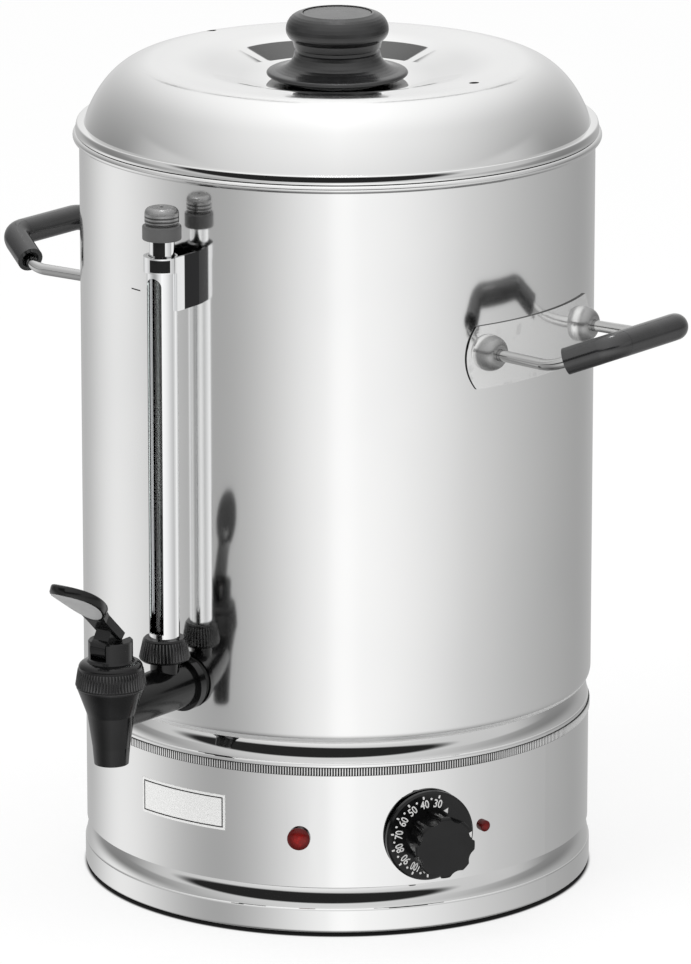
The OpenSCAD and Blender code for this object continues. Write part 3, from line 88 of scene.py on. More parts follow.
class UrnSizes(PropertyGroup):
    """Sizes of the pieces that are made here, and where they sit on the urn."""

    tank_radius: length("Tank radius", "Outer radius of the tank's wall", 135)
    tank_sheet: length("Tank sheet", "Thickness of the tank's wall", 1)
    tank_corner: length("Tank corner", "Height of the rounded edge round the tank's floor", 6)
    bead_radius: length("Rim bead", "Radius of the bead rolled round the tank's rim", 2.2)
    tap_z: length("Tap height", "Height of the tap's axis above the table", 131)
    tap_bore: length("Tap hole", "Radius of the tap's hole in the tank", 9.1)
    lid_sheet: length("Lid sheet", "Thickness of the lid", 0.8)
    lid_foot: length("Dome foot", "Radius of the lid's dome at its foot", 132.5)
    lid_crown: length("Crown", "Radius at which the lid's dome turns level", 98)
    lid_foot_angle: angle("Dome foot angle", "Angle of the dome's arc at its foot", 28)
    lid_ledge_z: length("Ledge height", "Height of the ledge round the lid's dome", 404.6)
    lid_dish: length("Dish", "Radius at which the lid starts to dish", 75)
    lid_drop: length("Crown drop", "Drop of the lid from its crown to the dish", 1.3)
    lid_dish_depth: length("Dish depth", "Depth of the dish", 9.2)
    lid_floor: length("Dish floor", "Radius of the dish's flat floor", 43)
    lid_hole: length("Knob screw hole", "Radius of the hole for the knob's screw", 2.6)
    lid_rim_lean: length("Rim lean", "How far the lid's rim leans in at its top", 0.5)
    lid_skirt: length("Lid skirt", "Radius of the ring that keeps the lid on the tank", 132.8)
    vent: length("Vent", "Radius of a vent hole in the lid", 2.6)
    vent_front: length("Front vent", "Distance of the front vent from the lid's axis", 91)
    vent_rear: length("Rear vent", "Distance of the rear vent from the lid's axis", 101)
    knurl_count: IntProperty(name="Knurl ticks", description="Ticks round the knurled band", default=600)
    knurl_depth: length("Knurl depth", "Depth of a tick in the knurled band", 0.5)
    nut_head: length("Gauge nut's head", "Radius of the gauge nut at its top", 11)
    nut_ribs: IntProperty(name="Nut ribs", description="Ribs round the gauge nut", default=42)
    bonnet_collar: length("Bonnet collar", "Height of the ribbed part of the tap's bonnet", 10.2)
    bonnet_lean: length("Bonnet lean", "How far the bonnet narrows to the top of its ribs", 1.3)
    bonnet_ribs: IntProperty(name="Bonnet ribs", description="Ribs round the tap's bonnet", default=64)
    rib_depth: length("Rib depth", "How far a rib stands out of its collar", 0.6)
    spring_wire: length("Spring wire", "Diameter of the wire of the valve's spring", 1.1)
    spring_turns: IntProperty(name="Spring turns", description="Turns of the valve's spring", default=5)
    stem_lift: length("Stem lift", "How far the valve's stem lifts", 3.105)
    spoon_length: length("Spoon length", "Length of the lever's spoon along its bend", 39.5)
    spoon_width: length("Spoon width", "Width of the lever's spoon", 26)
    spoon_thick: length("Spoon thickness", "Thickness of the lever's spoon", 5.4)
    spoon_bend: angle("Spoon bend", "How far the lever's spoon bends down to its tip", 27.8)
    spoon_slope: angle("Spoon slope", "Slope of the lever's spoon at its root", 48)
    spoon_root_y: length("Spoon root, y", "Where the lever's spoon starts", -209.65)
    spoon_root_z: length("Spoon root, z", "Height at which the lever's spoon starts", 183.28)
    plate_width: length("Blank plate width", "Width of the blank plate below the tap", 55)
    plate_height: length("Blank plate height", "Height of the blank plate below the tap", 19)
    plate_angle: angle("Blank plate place", "Place of the blank plate round the urn, from the tap", -2)
    plate_z: length("Blank plate height above the table", "Middle of the blank plate", 63)
    # The gauge's black sheets on the strap and the neck are painted dark reflections; this sets the way they
    # face.
    window_angle: angle("Gauge window", "Way that the gauge's black windows face, from the tap", 31)
    foot_shoulder_z: length("Foot shoulder", "Height at which the foot's shoulder starts", 15.04)
    foot_shoulder_radius: length("Foot shoulder radius", "Radius at which the foot's shoulder starts", 134.4)
    groove_z: length("Groove", "Height of the groove over the foot's shoulder", 25.5)
    groove_radius: length("Groove radius", "Radius of the groove over the foot's shoulder", 131.8)
    top_shoulder_z: length("Top shoulder", "Height at which the shoulder over the panel starts", 93.84)
    top_shoulder_radius: length("Top shoulder radius", "Radius of the top shoulder where it starts", 133.4)
    top_edge_z: length("Top edge", "Height of the base's top edge", 104)
    top_edge_radius: length("Top edge radius", "Radius of the base's top edge", 131)
    swell: length("Shoulder swell", "How far a shoulder of the base bulges", 0.4)
    handle_plate: length("Handle plate radius", "Outer radius of a handle's plate", 136.35)
    level_mark_z: length("Level mark height", "Height of the plain line beside the gauge", 334)
    level_mark_angle: angle("Level mark place", "Place of the plain line round the urn, from the tap", -14.5)
    panel_radius: length("Panel radius", "Radius of the control panel's wall", 134)
    dial_angle: angle("Dial place", "Place of the dial round the urn, from the tap", 56)
    dial_z: length("Dial height", "Height of the dial's axis above the table", 53)
    dial_face: length("Dial face", "Distance from the urn's axis to the face of the dial's skirt", 138)
    figure_radius: length("Figure radius", "Distance from the dial's axis to the middle of a figure", 17.9)
    figure_height: length("Figure height", "Height of a figure on the dial", 4.4)


class UrnColours(PropertyGroup):
    """Colours of the finishes."""

    steel: colour("Polished steel", "Mirror-polished stainless steel", (0.905, 0.905, 0.9))
    steel_dark: colour("Worn steel", "Polished steel where it is a little hazy", (0.86, 0.862, 0.86))
    chrome: colour("Chrome", "Chromed tube of the sight gauge", (0.88, 0.885, 0.89))
    black: colour("Black plastic", "Moulded black plastic", (0.004, 0.004, 0.0042))
    black_worn: colour("Black plastic, worn", "Black plastic where it is handled", (0.008, 0.008, 0.0083))
    grey: colour("Grey plastic", "Grey cap of the sight gauge", (0.1, 0.1, 0.1))
    red: colour("Red lens", "Lens of a signal lamp", (0.46, 0.012, 0.01))
    white: colour("White print", "Figures of the dial and the blank plate", (0.95, 0.95, 0.94))
    rubber: colour("Rubber", "Feet and gaskets", (0.016, 0.016, 0.016))
    brass: colour("Brass", "Nuts and pins", (0.62, 0.46, 0.2))
    aluminium: colour("Aluminium", "Heater plate and element", (0.6, 0.6, 0.61))
    ivory: colour("Ivory plastic", "Terminal block and valve cup", (0.72, 0.69, 0.6))


class UrnStage(PropertyGroup):
    """The camera and the studio."""

    camera_angle: angle("Camera place", "Where the camera stands round the urn, from the tap", 35.5)
    camera_pitch: angle("Camera pitch", "How far the camera looks down", 15.138)
    camera_distance: length("Camera distance", "Distance of the camera, along the floor", 3652.5)
    camera_height: length("Camera height", "Height of the camera above the table", 1196.25)
    lens: FloatProperty(name="Lens", description="Focal length in millimetres", default=266.7)
    shift: FloatProperty(name="Shift", description="Sideways shift of the lens", default=0.0085)
    ambient: FloatProperty(name="Ambient light", description="Even light from all round", default=0.82)


# Shader maths


def sum_method(operation, turned_round=False):
    """A method that puts a value and another into one sum, or the other first."""
    def method(self, other):
        return self.finish.sum_of(operation, *((other, self) if turned_round else (self, other)))
    return method


class Value:
    """A shader socket that takes part in sums."""

    __add__, __radd__ = sum_method("ADD"), sum_method("ADD", True)
    __sub__, __rsub__ = sum_method("SUBTRACT"), sum_method("SUBTRACT", True)
    __mul__, __rmul__ = sum_method("MULTIPLY"), sum_method("MULTIPLY", True)
    __truediv__ = sum_method("DIVIDE")
    __pow__ = sum_method("POWER")

    def __init__(self, finish, socket):
        self.finish = finish
        self.socket = socket

    def __abs__(self):
        return self.maths("ABSOLUTE")

    def maths(self, operation):
        """A function of one number, such as a sine."""
        return self.finish.node("ShaderNodeMath", {"operation": operation}, {0: self})

    def step(self, low, high):
        """A smooth step from 0 at low to 1 at high."""
        return self.finish.node("ShaderNodeMapRange", {"interpolation_type": "SMOOTHSTEP"},
                                {"Value": self, "From Min": low, "From Max": high})

    def part(self, axis):
        """One part of a vector."""
        return self.finish.node("ShaderNodeSeparateXYZ", {}, {0: self}, "XYZ".index(axis))

    def along(self, way):
        """How far a vector reaches along another."""
        sockets = {0: self, 1: way}
        return self.finish.node("ShaderNodeVectorMath", {"operation": "DOT_PRODUCT"}, sockets, "Value")

    def reach(self):
        """How far a place lies from the urn's axis."""
        level = self * (1, 1, 0)
        return self.finish.node("ShaderNodeVectorMath", {"operation": "LENGTH"}, {0: level}, "Value")


class Finish:
    """A tree of shader nodes, of a new material or of the world."""

    def __init__(self, name, tree=None):
        if tree is None:
            self.material = bpy.data.materials.new(name)
            self.material.use_nodes = True
            tree = self.material.node_tree
        self.tree = tree
        self.tree.nodes.clear()

    def feed(self, socket, value):
        """Links a socket to a value, or sets it to a plain number or colour."""
        if isinstance(value, Value):
            self.tree.links.new(value.socket, socket)
        elif socket.type == "RGBA" and len(value) == 3:
            socket.default_value = (*value, 1)
        else:
            socket.default_value = value

    def node(self, kind, settings, sockets, output=0):
        """Any node: its settings first, a ramp's stops among them, then its sockets."""
        made = self.tree.nodes.new(kind)
        for key, value in settings.items():
            if key == "stops":
                ramp = made.color_ramp
                while len(ramp.elements) < len(value):
                    ramp.elements.new(0.5)
                for element, (place, level) in zip(ramp.elements, value):
                    element.position = place
                    element.color = (level, level, level, 1)
            elif key == "ramp_interpolation":
                made.color_ramp.interpolation = value
            else:
                setattr(made, key, value)
        for key, value in sockets.items():
            self.feed(made.inputs[key], value)
        return Value(self, made.outputs[output])

    def sum_of(self, operation, first, second):
        """One sum, with Vector Math where a vector takes part and Mix where a colour does."""
        kinds = [v.socket.type for v in (first, second) if isinstance(v, Value)]
        if "VECTOR" in kinds:
            return self.node("ShaderNodeVectorMath", {"operation": operation}, {0: first, 1: second})
        if "RGBA" in kinds:
            return self.node("ShaderNodeMix", {"data_type": "RGBA", "blend_type": operation},
                             {0: 1.0, 6: first, 7: second}, 2)
        return self.node("ShaderNodeMath", {"operation": operation}, {0: first, 1: second})

    def blend(self, factor, first, second):
        """A colour between two, by a factor."""
        return self.node("ShaderNodeMix", {"data_type": "RGBA"}, {0: factor, 6: first, 7: second}, 2)

    def place(self):
        """The place on the object, in metres."""
        return self.node("ShaderNodeTexCoord", {}, {}, "Object")

    def rays(self, *kinds):
        """How many of these kinds of ray a ray is."""
        first, *rest = [self.node("ShaderNodeLightPath", {}, {}, f"Is {kind} Ray") for kind in kinds]
        return sum(rest, first)

    def noise(self, at, scale, detail=2.0, roughness=0.5):
        """Soft noise from 0 to 1."""
        sockets = {"Vector": at, "Scale": scale, "Detail": detail, "Roughness": roughness}
        return self.node("ShaderNodeTexNoise", {}, sockets, "Fac")

    def bump(self, height, strength, distance):
        """A normal from a height."""
        return self.node("ShaderNodeBump", {}, {"Height": height, "Strength": strength, "Distance": distance})

    def surface(self, **sockets):
        """Ends the material with one shader, and gives the material."""
        names = {key.replace("_", " "): value for key, value in sockets.items()}
        shader = self.node("ShaderNodeBsdfPrincipled", {}, names)
        self.end(shader)
        return self.material

    def end(self, shader, kind="ShaderNodeOutputMaterial"):
        """Links a shader to the tree's output."""
        output = self.tree.nodes.new(kind)
        self.tree.links.new(shader.socket, output.inputs["Surface"])


# Finishes


def shade(tone, share):
    """A colour made darker or lighter."""
    return tuple(share * v for v in tone)


def mirror_steel(name, light, dark, rough=0.012, haze=0.03, inside=0.0, bend=-1.0):
    """Mirror-polished sheet: faint haze, wipe marks and fine polishing lines that run round the urn. It is
    satin inside one radius of the urn's axis and duller along a bend at another."""
    f = Finish(name)
    at = f.place()
    reach = at.reach()
    satin = 1 - reach.step(inside, inside + 0.2 * MM)
    dull = 1 - abs(reach - bend).step(5 * MM, 12 * MM)
    cloud = f.noise(at, 7, 3)
    wipes = f.noise(at * (26, 26, 9), 1.0, 4, 0.6)
    lines = f.noise(at * (6, 6, 1400), 1.0, 2)
    spots = f.noise(at, 160, 1).step(0.74, 0.9)
    return f.surface(
        Base_Color=f.blend(cloud.step(0.35, 0.75), light, dark),
        Metallic=1 - 0.4 * satin,
        Roughness=(rough + haze * wipes * wipes + 0.01 * lines + 0.03 * spots
                   + 0.3 * satin + 0.14 * dull),
        Normal=f.bump(f.noise(at * (3, 3, 1.2), 3, 1), 0.1, 0.0004))


def moulded_plastic(name, light, dark, rough, grain, coat=0.0, specular=0.5):
    """Moulded plastic: fine grain, a soft change of gloss, and paler where hands rub it."""
    f = Finish(name)
    at = f.place()
    rubbed = f.noise(at, 55, 3).step(0.4, 0.75)
    fine = f.noise(at, 2600, 2)
    flow = f.noise(at * (90, 90, 30), 1.0, 2)
    return f.surface(
        Base_Color=f.blend(rubbed, dark, light),
        Roughness=rough + 0.1 * rubbed * flow + 0.05 * fine,
        Specular_IOR_Level=specular,
        Coat_Weight=coat,
        Coat_Roughness=0.08,
        Normal=f.bump(fine, grain, 0.0001))


def dull_metal(name, light, dark, rough):
    """Plain inner metalwork: cast or drawn, with a fine uneven surface."""
    f = Finish(name)
    at = f.place()
    cloud = f.noise(at, 60, 4)
    fine = f.noise(at, 1500, 2)
    return f.surface(
        Base_Color=f.blend(cloud, dark, light),
        Metallic=1.0,
        Roughness=rough + 0.12 * cloud + 0.06 * fine,
        Normal=f.bump(fine, 0.08, 0.0001))


def rubber(name, tone):
    """Matt rubber with a dusty grain."""
    f = Finish(name)
    at = f.place()
    dust = f.noise(at, 300, 4)
    return f.surface(
        Base_Color=f.blend(dust.step(0.45, 0.85), tone, shade(tone, 2.2)),
        Roughness=0.62 + 0.2 * dust,
        Normal=f.bump(f.noise(at, 1800, 2), 0.15, 0.0002))


def lamp_lens(name, tone, node):
    """Red lens of a signal lamp, with a cut pattern inside and its edge painted darker as painted shade."""
    f = Finish(name)
    at = f.place()
    low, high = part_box(node)
    radius, middle = (high.z - low.z) / 2, tuple((low + high) / 2)
    away = f.node("ShaderNodeVectorMath", {"operation": "DISTANCE"}, {0: at, 1: middle}, "Value")
    # edge grows towards the lens's rim, where the colour is painted darker as painted shade.
    edge = away.step(0.45 * radius, radius)
    cells = f.node("ShaderNodeTexVoronoi", {}, {"Vector": at, "Scale": 620.0}, "Distance")
    cut = f.blend(cells.step(0.1, 0.8), tone, shade(tone, 0.6))
    return f.surface(
        Base_Color=f.blend(edge, cut, shade(tone, 0.22)),
        Roughness=0.16 + 0.08 * cells,
        Specular_IOR_Level=0.3,
        Normal=f.bump(cells, 0.06, 0.0002))


def knurled_steel(name, light, radius, depth):
    """Bright knurled edge whose grooves between its ticks are rougher and painted near black as painted shade.
    """
    f = Finish(name)
    at = f.place()
    reach = at.reach()
    ridge = reach.step(radius - 0.7 * depth, radius - 0.1 * depth)
    soot = f.noise(at, 220, 3)
    return f.surface(
        # The grooves are painted near black: painted shade.
        Base_Color=f.blend(ridge, shade(light, 0.09), light),
        Metallic=1.0,
        Roughness=0.5 - 0.36 * ridge + 0.1 * soot,
        Normal=f.bump(soot, 0.06, 0.0002))


def grooved_cap(name, tone, foot):
    """Dull grey cap with a bright metal head, from the height of the head's foot. Turned grooves round the head
    are a bump, with darker rings painted in step with them as painted shade.
    """
    f = Finish(name)
    at = f.place()
    high = at.part("Z")
    pitch, blur = 2 * MM, 0.2 * MM
    head = high.step(foot - blur, foot + blur)
    rings = ((high - foot) * (2 * pi / pitch)).maths("SINE")
    wall = head * (1 - high.step(foot + 4.6 * MM, foot + 5.2 * MM))
    # Darker rings painted in step with the grooves: painted shade.
    cut = rings.step(-0.2, 0.5) * wall
    fine = f.noise(at * (200, 200, 4000), 1.0, 2)
    dull = shade(tone, 0.8)
    return f.surface(
        Base_Color=f.blend(head, tone, f.blend(cut, shade(tone, 3.4), dull)),
        Metallic=0.85 * head,
        Roughness=0.38 - 0.16 * head + 0.1 * fine,
        Normal=f.bump(rings * wall, 0.3, 0.0002))


def bracket_steel(name, light, axis_y):
    """Chromed strap whose cheeks, behind the tube's axis, are painted near black as a painted dark reflection.
    """
    f = Finish(name)
    at = f.place()
    painted_reflection_cheek = at.part("Y").step(axis_y + 6 * MM, axis_y + 6.6 * MM)
    cloud = f.noise(at, 90, 3)
    return f.surface(
        # Near-black cheeks: a painted dark reflection.
        Base_Color=f.blend(painted_reflection_cheek, light, (0.016, 0.016, 0.017)),
        Metallic=1.0,
        Roughness=0.04 + 0.06 * cloud * painted_reflection_cheek,
        Normal=f.bump(cloud, 0.03, 0.0002))


def plate_steel(name, light, radius):
    """A handle's plate: bright face, its cut edges painted near black as a painted shadow line, and duller
    bosses that stand out of the face, painted darker as painted shade.
    """
    f = Finish(name)
    at = f.place()
    reach = at.reach()
    face = reach.step(radius - 0.4 * MM, radius - 0.2 * MM)
    boss_rough_and_painted_dark = reach.step(radius + 0.4 * MM, radius + 3 * MM)
    brushed = f.noise(at * (40, 40, 900), 1.0, 3)
    stain = f.noise(at, 130, 3).step(0.62, 0.72)
    # The bosses are painted darker: painted shade.
    tone = f.blend(boss_rough_and_painted_dark, light, shade(light, 0.42))
    # cut is the near black of the painted shadow line on the cut edges; worn is the grey of the stains.
    cut, worn = (0.012, 0.012, 0.012), (0.3, 0.3, 0.3)
    return f.surface(
        Base_Color=f.blend(face, cut, f.blend(stain * 0.18, tone, worn)),
        Metallic=0.78,
        Roughness=0.05 + 0.17 * boss_rough_and_painted_dark + 0.06 * brushed + 0.06 * stain,
        Normal=f.bump(brushed, 0.05, 0.0002))


def black_ink(name):
    """Flat black print, and black sheets that stand for painted dark reflections."""
    f = Finish(name)
    at = f.place()
    uneven = f.noise(at, 700, 3)
    return f.surface(
        Base_Color=f.blend(uneven, (0.004, 0.004, 0.004), (0.012, 0.012, 0.012)),
        Roughness=0.4 + 0.2 * uneven,
        Specular_IOR_Level=0.25,
        Normal=f.bump(uneven, 0.04, 0.0001))


def clear_glass(name):
    """Sight glass: clear, with faint drawn lines."""
    f = Finish(name)
    at = f.place()
    drawn = f.noise(at * (700, 700, 20), 1.0, 2)
    return f.surface(
        Base_Color=f.blend(drawn, (0.93, 0.96, 0.95), (0.98, 0.99, 0.985)),
        Roughness=0.02 + 0.03 * drawn,
        Transmission_Weight=1.0,
        IOR=1.47)


def printed_white(name, tone):
    """White print or enamel, a little uneven."""
    f = Finish(name)
    at = f.place()
    uneven = f.noise(at, 900, 3)
    return f.surface(
        Base_Color=f.blend(uneven, tone, shade(tone, 0.9)),
        Roughness=0.4 + 0.15 * uneven,
        Normal=f.bump(uneven, 0.05, 0.0001))


def finish_of(name):
    """A finish by name, made the first time it is asked for."""
    if name in FINISHES:
        return FINISHES[name]
    c, sizes = bpy.context.scene.urn_colours, bpy.context.scene.urn_sizes
    makers = {
        "polished_steel": lambda: mirror_steel(name, c.steel, c.steel_dark, bend=sizes.lid_crown),
        "inner_steel": lambda: dull_metal(name, (0.6, 0.6, 0.6), (0.5, 0.5, 0.5), 0.26),
        "knurled_steel": lambda: knurled_steel(name, c.steel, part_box("knurled_band")[1].x, sizes.knurl_depth),
        "bracket_steel": lambda: bracket_steel(name, c.chrome, axis_of("gauge_guard")[1]),
        "grooved_cap": lambda: grooved_cap(name, c.grey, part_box("gauge_cap")[0].z + 7.5 * MM),
        "chromed_tube": lambda: mirror_steel(name, c.chrome, c.chrome, 0.03, 0.02),
        "heater_aluminium": lambda: dull_metal(name, c.aluminium, shade(c.aluminium, 0.7), 0.34),
        "tank_steel": lambda: mirror_steel(name, c.steel, c.steel_dark, 0.085, 0.03,
                                           sizes.tank_radius - 0.6 * sizes.tank_sheet),
        "rod_steel": lambda: mirror_steel(name, shade(c.steel, 0.68), shade(c.steel, 0.6), 0.06, 0.05),
        "plate_steel": lambda: plate_steel(name, c.steel, sizes.handle_plate),
        "black_plastic": lambda: moulded_plastic(name, c.black_worn, c.black, 0.1, 0.02, specular=0.4),
        "grip_vinyl": lambda: moulded_plastic(name, shade(c.black_worn, 3), shade(c.black_worn, 2), 0.1, 0.02,
                                              specular=1.0),
        "dial_black": lambda: moulded_plastic(name, c.black_worn, c.black, 0.14, 0.02, specular=0.35),
        "black_ink": lambda: black_ink(name),
        "black_gloss": lambda: moulded_plastic(name, c.black_worn, c.black, 0.08, 0.01, specular=1.0),
        "black_satin": lambda: moulded_plastic(name, shade(c.black_worn, 2.5), c.black_worn, 0.2, 0.04,
                                               specular=0.8),
        "grey_satin": lambda: moulded_plastic(name, shade(c.grey, 5), shade(c.grey, 4.4), 0.3, 0.03),
        "grey_plastic": lambda: moulded_plastic(name, shade(c.grey, 1.3), c.grey, 0.24, 0.03),
        "ivory_plastic": lambda: moulded_plastic(name, c.ivory, shade(c.ivory, 0.8), 0.4, 0.05),
        "red_lens": lambda: lamp_lens(name, c.red, "heating_lamp_lens"),
        "small_red_lens": lambda: lamp_lens(name, c.red, "power_lamp_lens"),
        "black_rubber": lambda: rubber(name, c.rubber),
        "brass": lambda: dull_metal(name, c.brass, shade(c.brass, 0.75), 0.24),
        "copper": lambda: dull_metal(name, (0.72, 0.36, 0.24), (0.5, 0.24, 0.15), 0.3),
        "glass": lambda: clear_glass(name),
        "white_print": lambda: printed_white(name, c.white),
    }
    FINISHES[name] = makers[name]()
    return FINISHES[name]


def dress(finish, *nodes):
    """Gives CAD nodes a finish."""
    for name in nodes:
        mesh = NODES[name].data
        mesh.materials.clear()
        mesh.materials.append(finish_of(finish))


# Mesh making


def placed(name, data):
    """A new object in the scene."""
    made = bpy.data.objects.new(name, data)
    bpy.context.collection.objects.link(made)
    return made


def piece(name, points, faces, finish, body, flat=False, stands_for=()):
    """A new mesh piece from points in metres, riding on a body."""
    mesh = bpy.data.meshes.new(name)
    mesh.from_pydata([tuple(p) for p in points], [], faces)
    grid = bmesh.new()
    grid.from_mesh(mesh)
    bmesh.ops.remove_doubles(grid, verts=grid.verts, dist=1e-7)
    bmesh.ops.recalc_face_normals(grid, faces=grid.faces)
    grid.to_mesh(mesh)
    grid.free()
    mesh.polygons.foreach_set("use_smooth", [not flat] * len(mesh.polygons))
    if not flat:
        mesh.set_sharp_from_angle(angle=radians(32))
    mesh.materials.append(finish_of(finish))
    made = placed(name, mesh)
    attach(made, body)
    if stands_for:
        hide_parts(*stands_for)
    return made


def ring_faces(rings, steps):
    """Faces between closed rings of points, the last ring joined to the first."""
    faces = []
    for i in range(rings):
        for k in range(steps):
            a, b = i * steps + k, i * steps + (k + 1) % steps
            c, d = ((i + 1) % rings) * steps + (k + 1) % steps, ((i + 1) % rings) * steps + k
            faces.append((a, b, c, d))
    return faces


def turned(profile, steps, centre=(0, 0), wave=None):
    """Points and faces of a closed profile turned about an upright axis. wave moves a point out by its
    step."""
    points = []
    for radius, z, share in profile:
        for k in range(steps):
            turn = 2 * pi * k / steps
            r = radius + (share * wave(k) if wave else 0)
            points.append(Vector((centre[0] + r * cos(turn), centre[1] + r * sin(turn), z)))
    return points, ring_faces(len(profile), steps)


def arc(centre, width, height, first, last, count):
    """Points of an ellipse's arc, by its angles in degrees."""
    turns = [radians(first + (last - first) * k / count) for k in range(count + 1)]
    return [(centre[0] + width * cos(t), centre[1] + height * sin(t)) for t in turns]


def inset(line, depth):
    """A line moved to its right-hand side by a depth."""
    moved = []
    for k, (r, z) in enumerate(line):
        before, after = line[max(k - 1, 0)], line[min(k + 1, len(line) - 1)]
        dr, dz = after[0] - before[0], after[1] - before[1]
        size = hypot(dr, dz)
        moved.append((r - depth * dz / size, z + depth * dr / size))
    return moved


def bridge(first, second):
    """Faces between two closed loops of points."""
    n = len(first)
    return [(first[k], first[(k + 1) % n], second[(k + 1) % n], second[k]) for k in range(n)]


def pierced(rings, steps, holes):
    """A closed profile turned about the urn's axis, with round holes through its two walls. A hole gives the
    rings of its patch outside and inside, its middle step and half its steps, and what sets a point on its
    edge."""
    points, cells = turned([(r, z, 0) for r, z in rings], steps)
    faces, cut = [], set()
    for outside, inside, middle, half, edge in holes:
        first, last = middle - half, middle + half
        rims = []
        for rows in (outside, inside):
            low, high = min(rows), max(rows)
            cut |= {i * steps + k % steps for i in range(low, high) for k in range(first, last)}
            across = list(range(first, last + 1))
            loop = [(rows[0], k) for k in across] + [(i, last) for i in rows[1:]]
            loop += [(rows[-1], k) for k in across[-2::-1]] + [(i, first) for i in rows[-2:0:-1]]
            loop = [i * steps + k % steps for i, k in loop]
            rim = list(range(len(points), len(points) + len(loop)))
            points.extend(edge(points[v], [rings[i] for i in rows]) for v in loop)
            faces.extend(bridge(loop, rim))
            rims.append(rim)
        faces.extend(bridge(*rims))
    faces.extend(cell for k, cell in enumerate(cells) if k not in cut)
    return points, faces


def bent(name, axis, radius, thick, turns, heights, finish, body="urn"):
    """A thin plate bent round an upright axis, from one turn and height to another."""
    points, steps = [], 24
    for r in (radius - thick, radius):
        for z in heights:
            for k in range(steps + 1):
                turn = turns[0] + (turns[1] - turns[0]) * k / steps
                points.append(Vector((axis[0], axis[1], z)) + outward(turn)[0] * r)
    row = steps + 1
    faces = []
    for k in range(steps):
        for a, b in ((0, 1), (1, 3), (3, 2), (2, 0)):
            faces.append((a * row + k, a * row + k + 1, b * row + k + 1, b * row + k))
    faces.append((0, row, 3 * row, 2 * row))
    faces.append((steps, 2 * row + steps, 3 * row + steps, row + steps))
    return piece(name, points, faces, finish, body)


def outward(turn):
    """Unit vectors at a place round the urn: outwards, to the right as seen from outside, and up."""
    return Vector((sin(turn), -cos(turn), 0)), Vector((cos(turn), sin(turn), 0)), Vector((0, 0, 1))


def ribbed_collar(name, axis, foot, head, low, high, count, depth, body):
    """A thin collar of upright ribs round a plastic nut, from its foot's radius to its head's."""
    steps = 6 * count
    shape = (0, 0.7, 1, 1, 0.7, 0)
    edge, skin = 0.7 * MM, 0.8 * MM
    profile = [(foot - skin, low, 0), (foot, low, 0), (foot, low + edge, 1), (head, high - edge, 1),
               (head, high, 0), (head - skin, high, 0)]
    points, faces = turned(profile, steps, axis, lambda k: depth * shape[k % 6])
    return piece(name, points, faces, "black_gloss", body)


def axis_of(node):
    """Where an upright axis through the middle of a node meets the table."""
    low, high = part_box(node)
    return ((low.x + high.x) / 2, (low.y + high.y) / 2)


# Operators


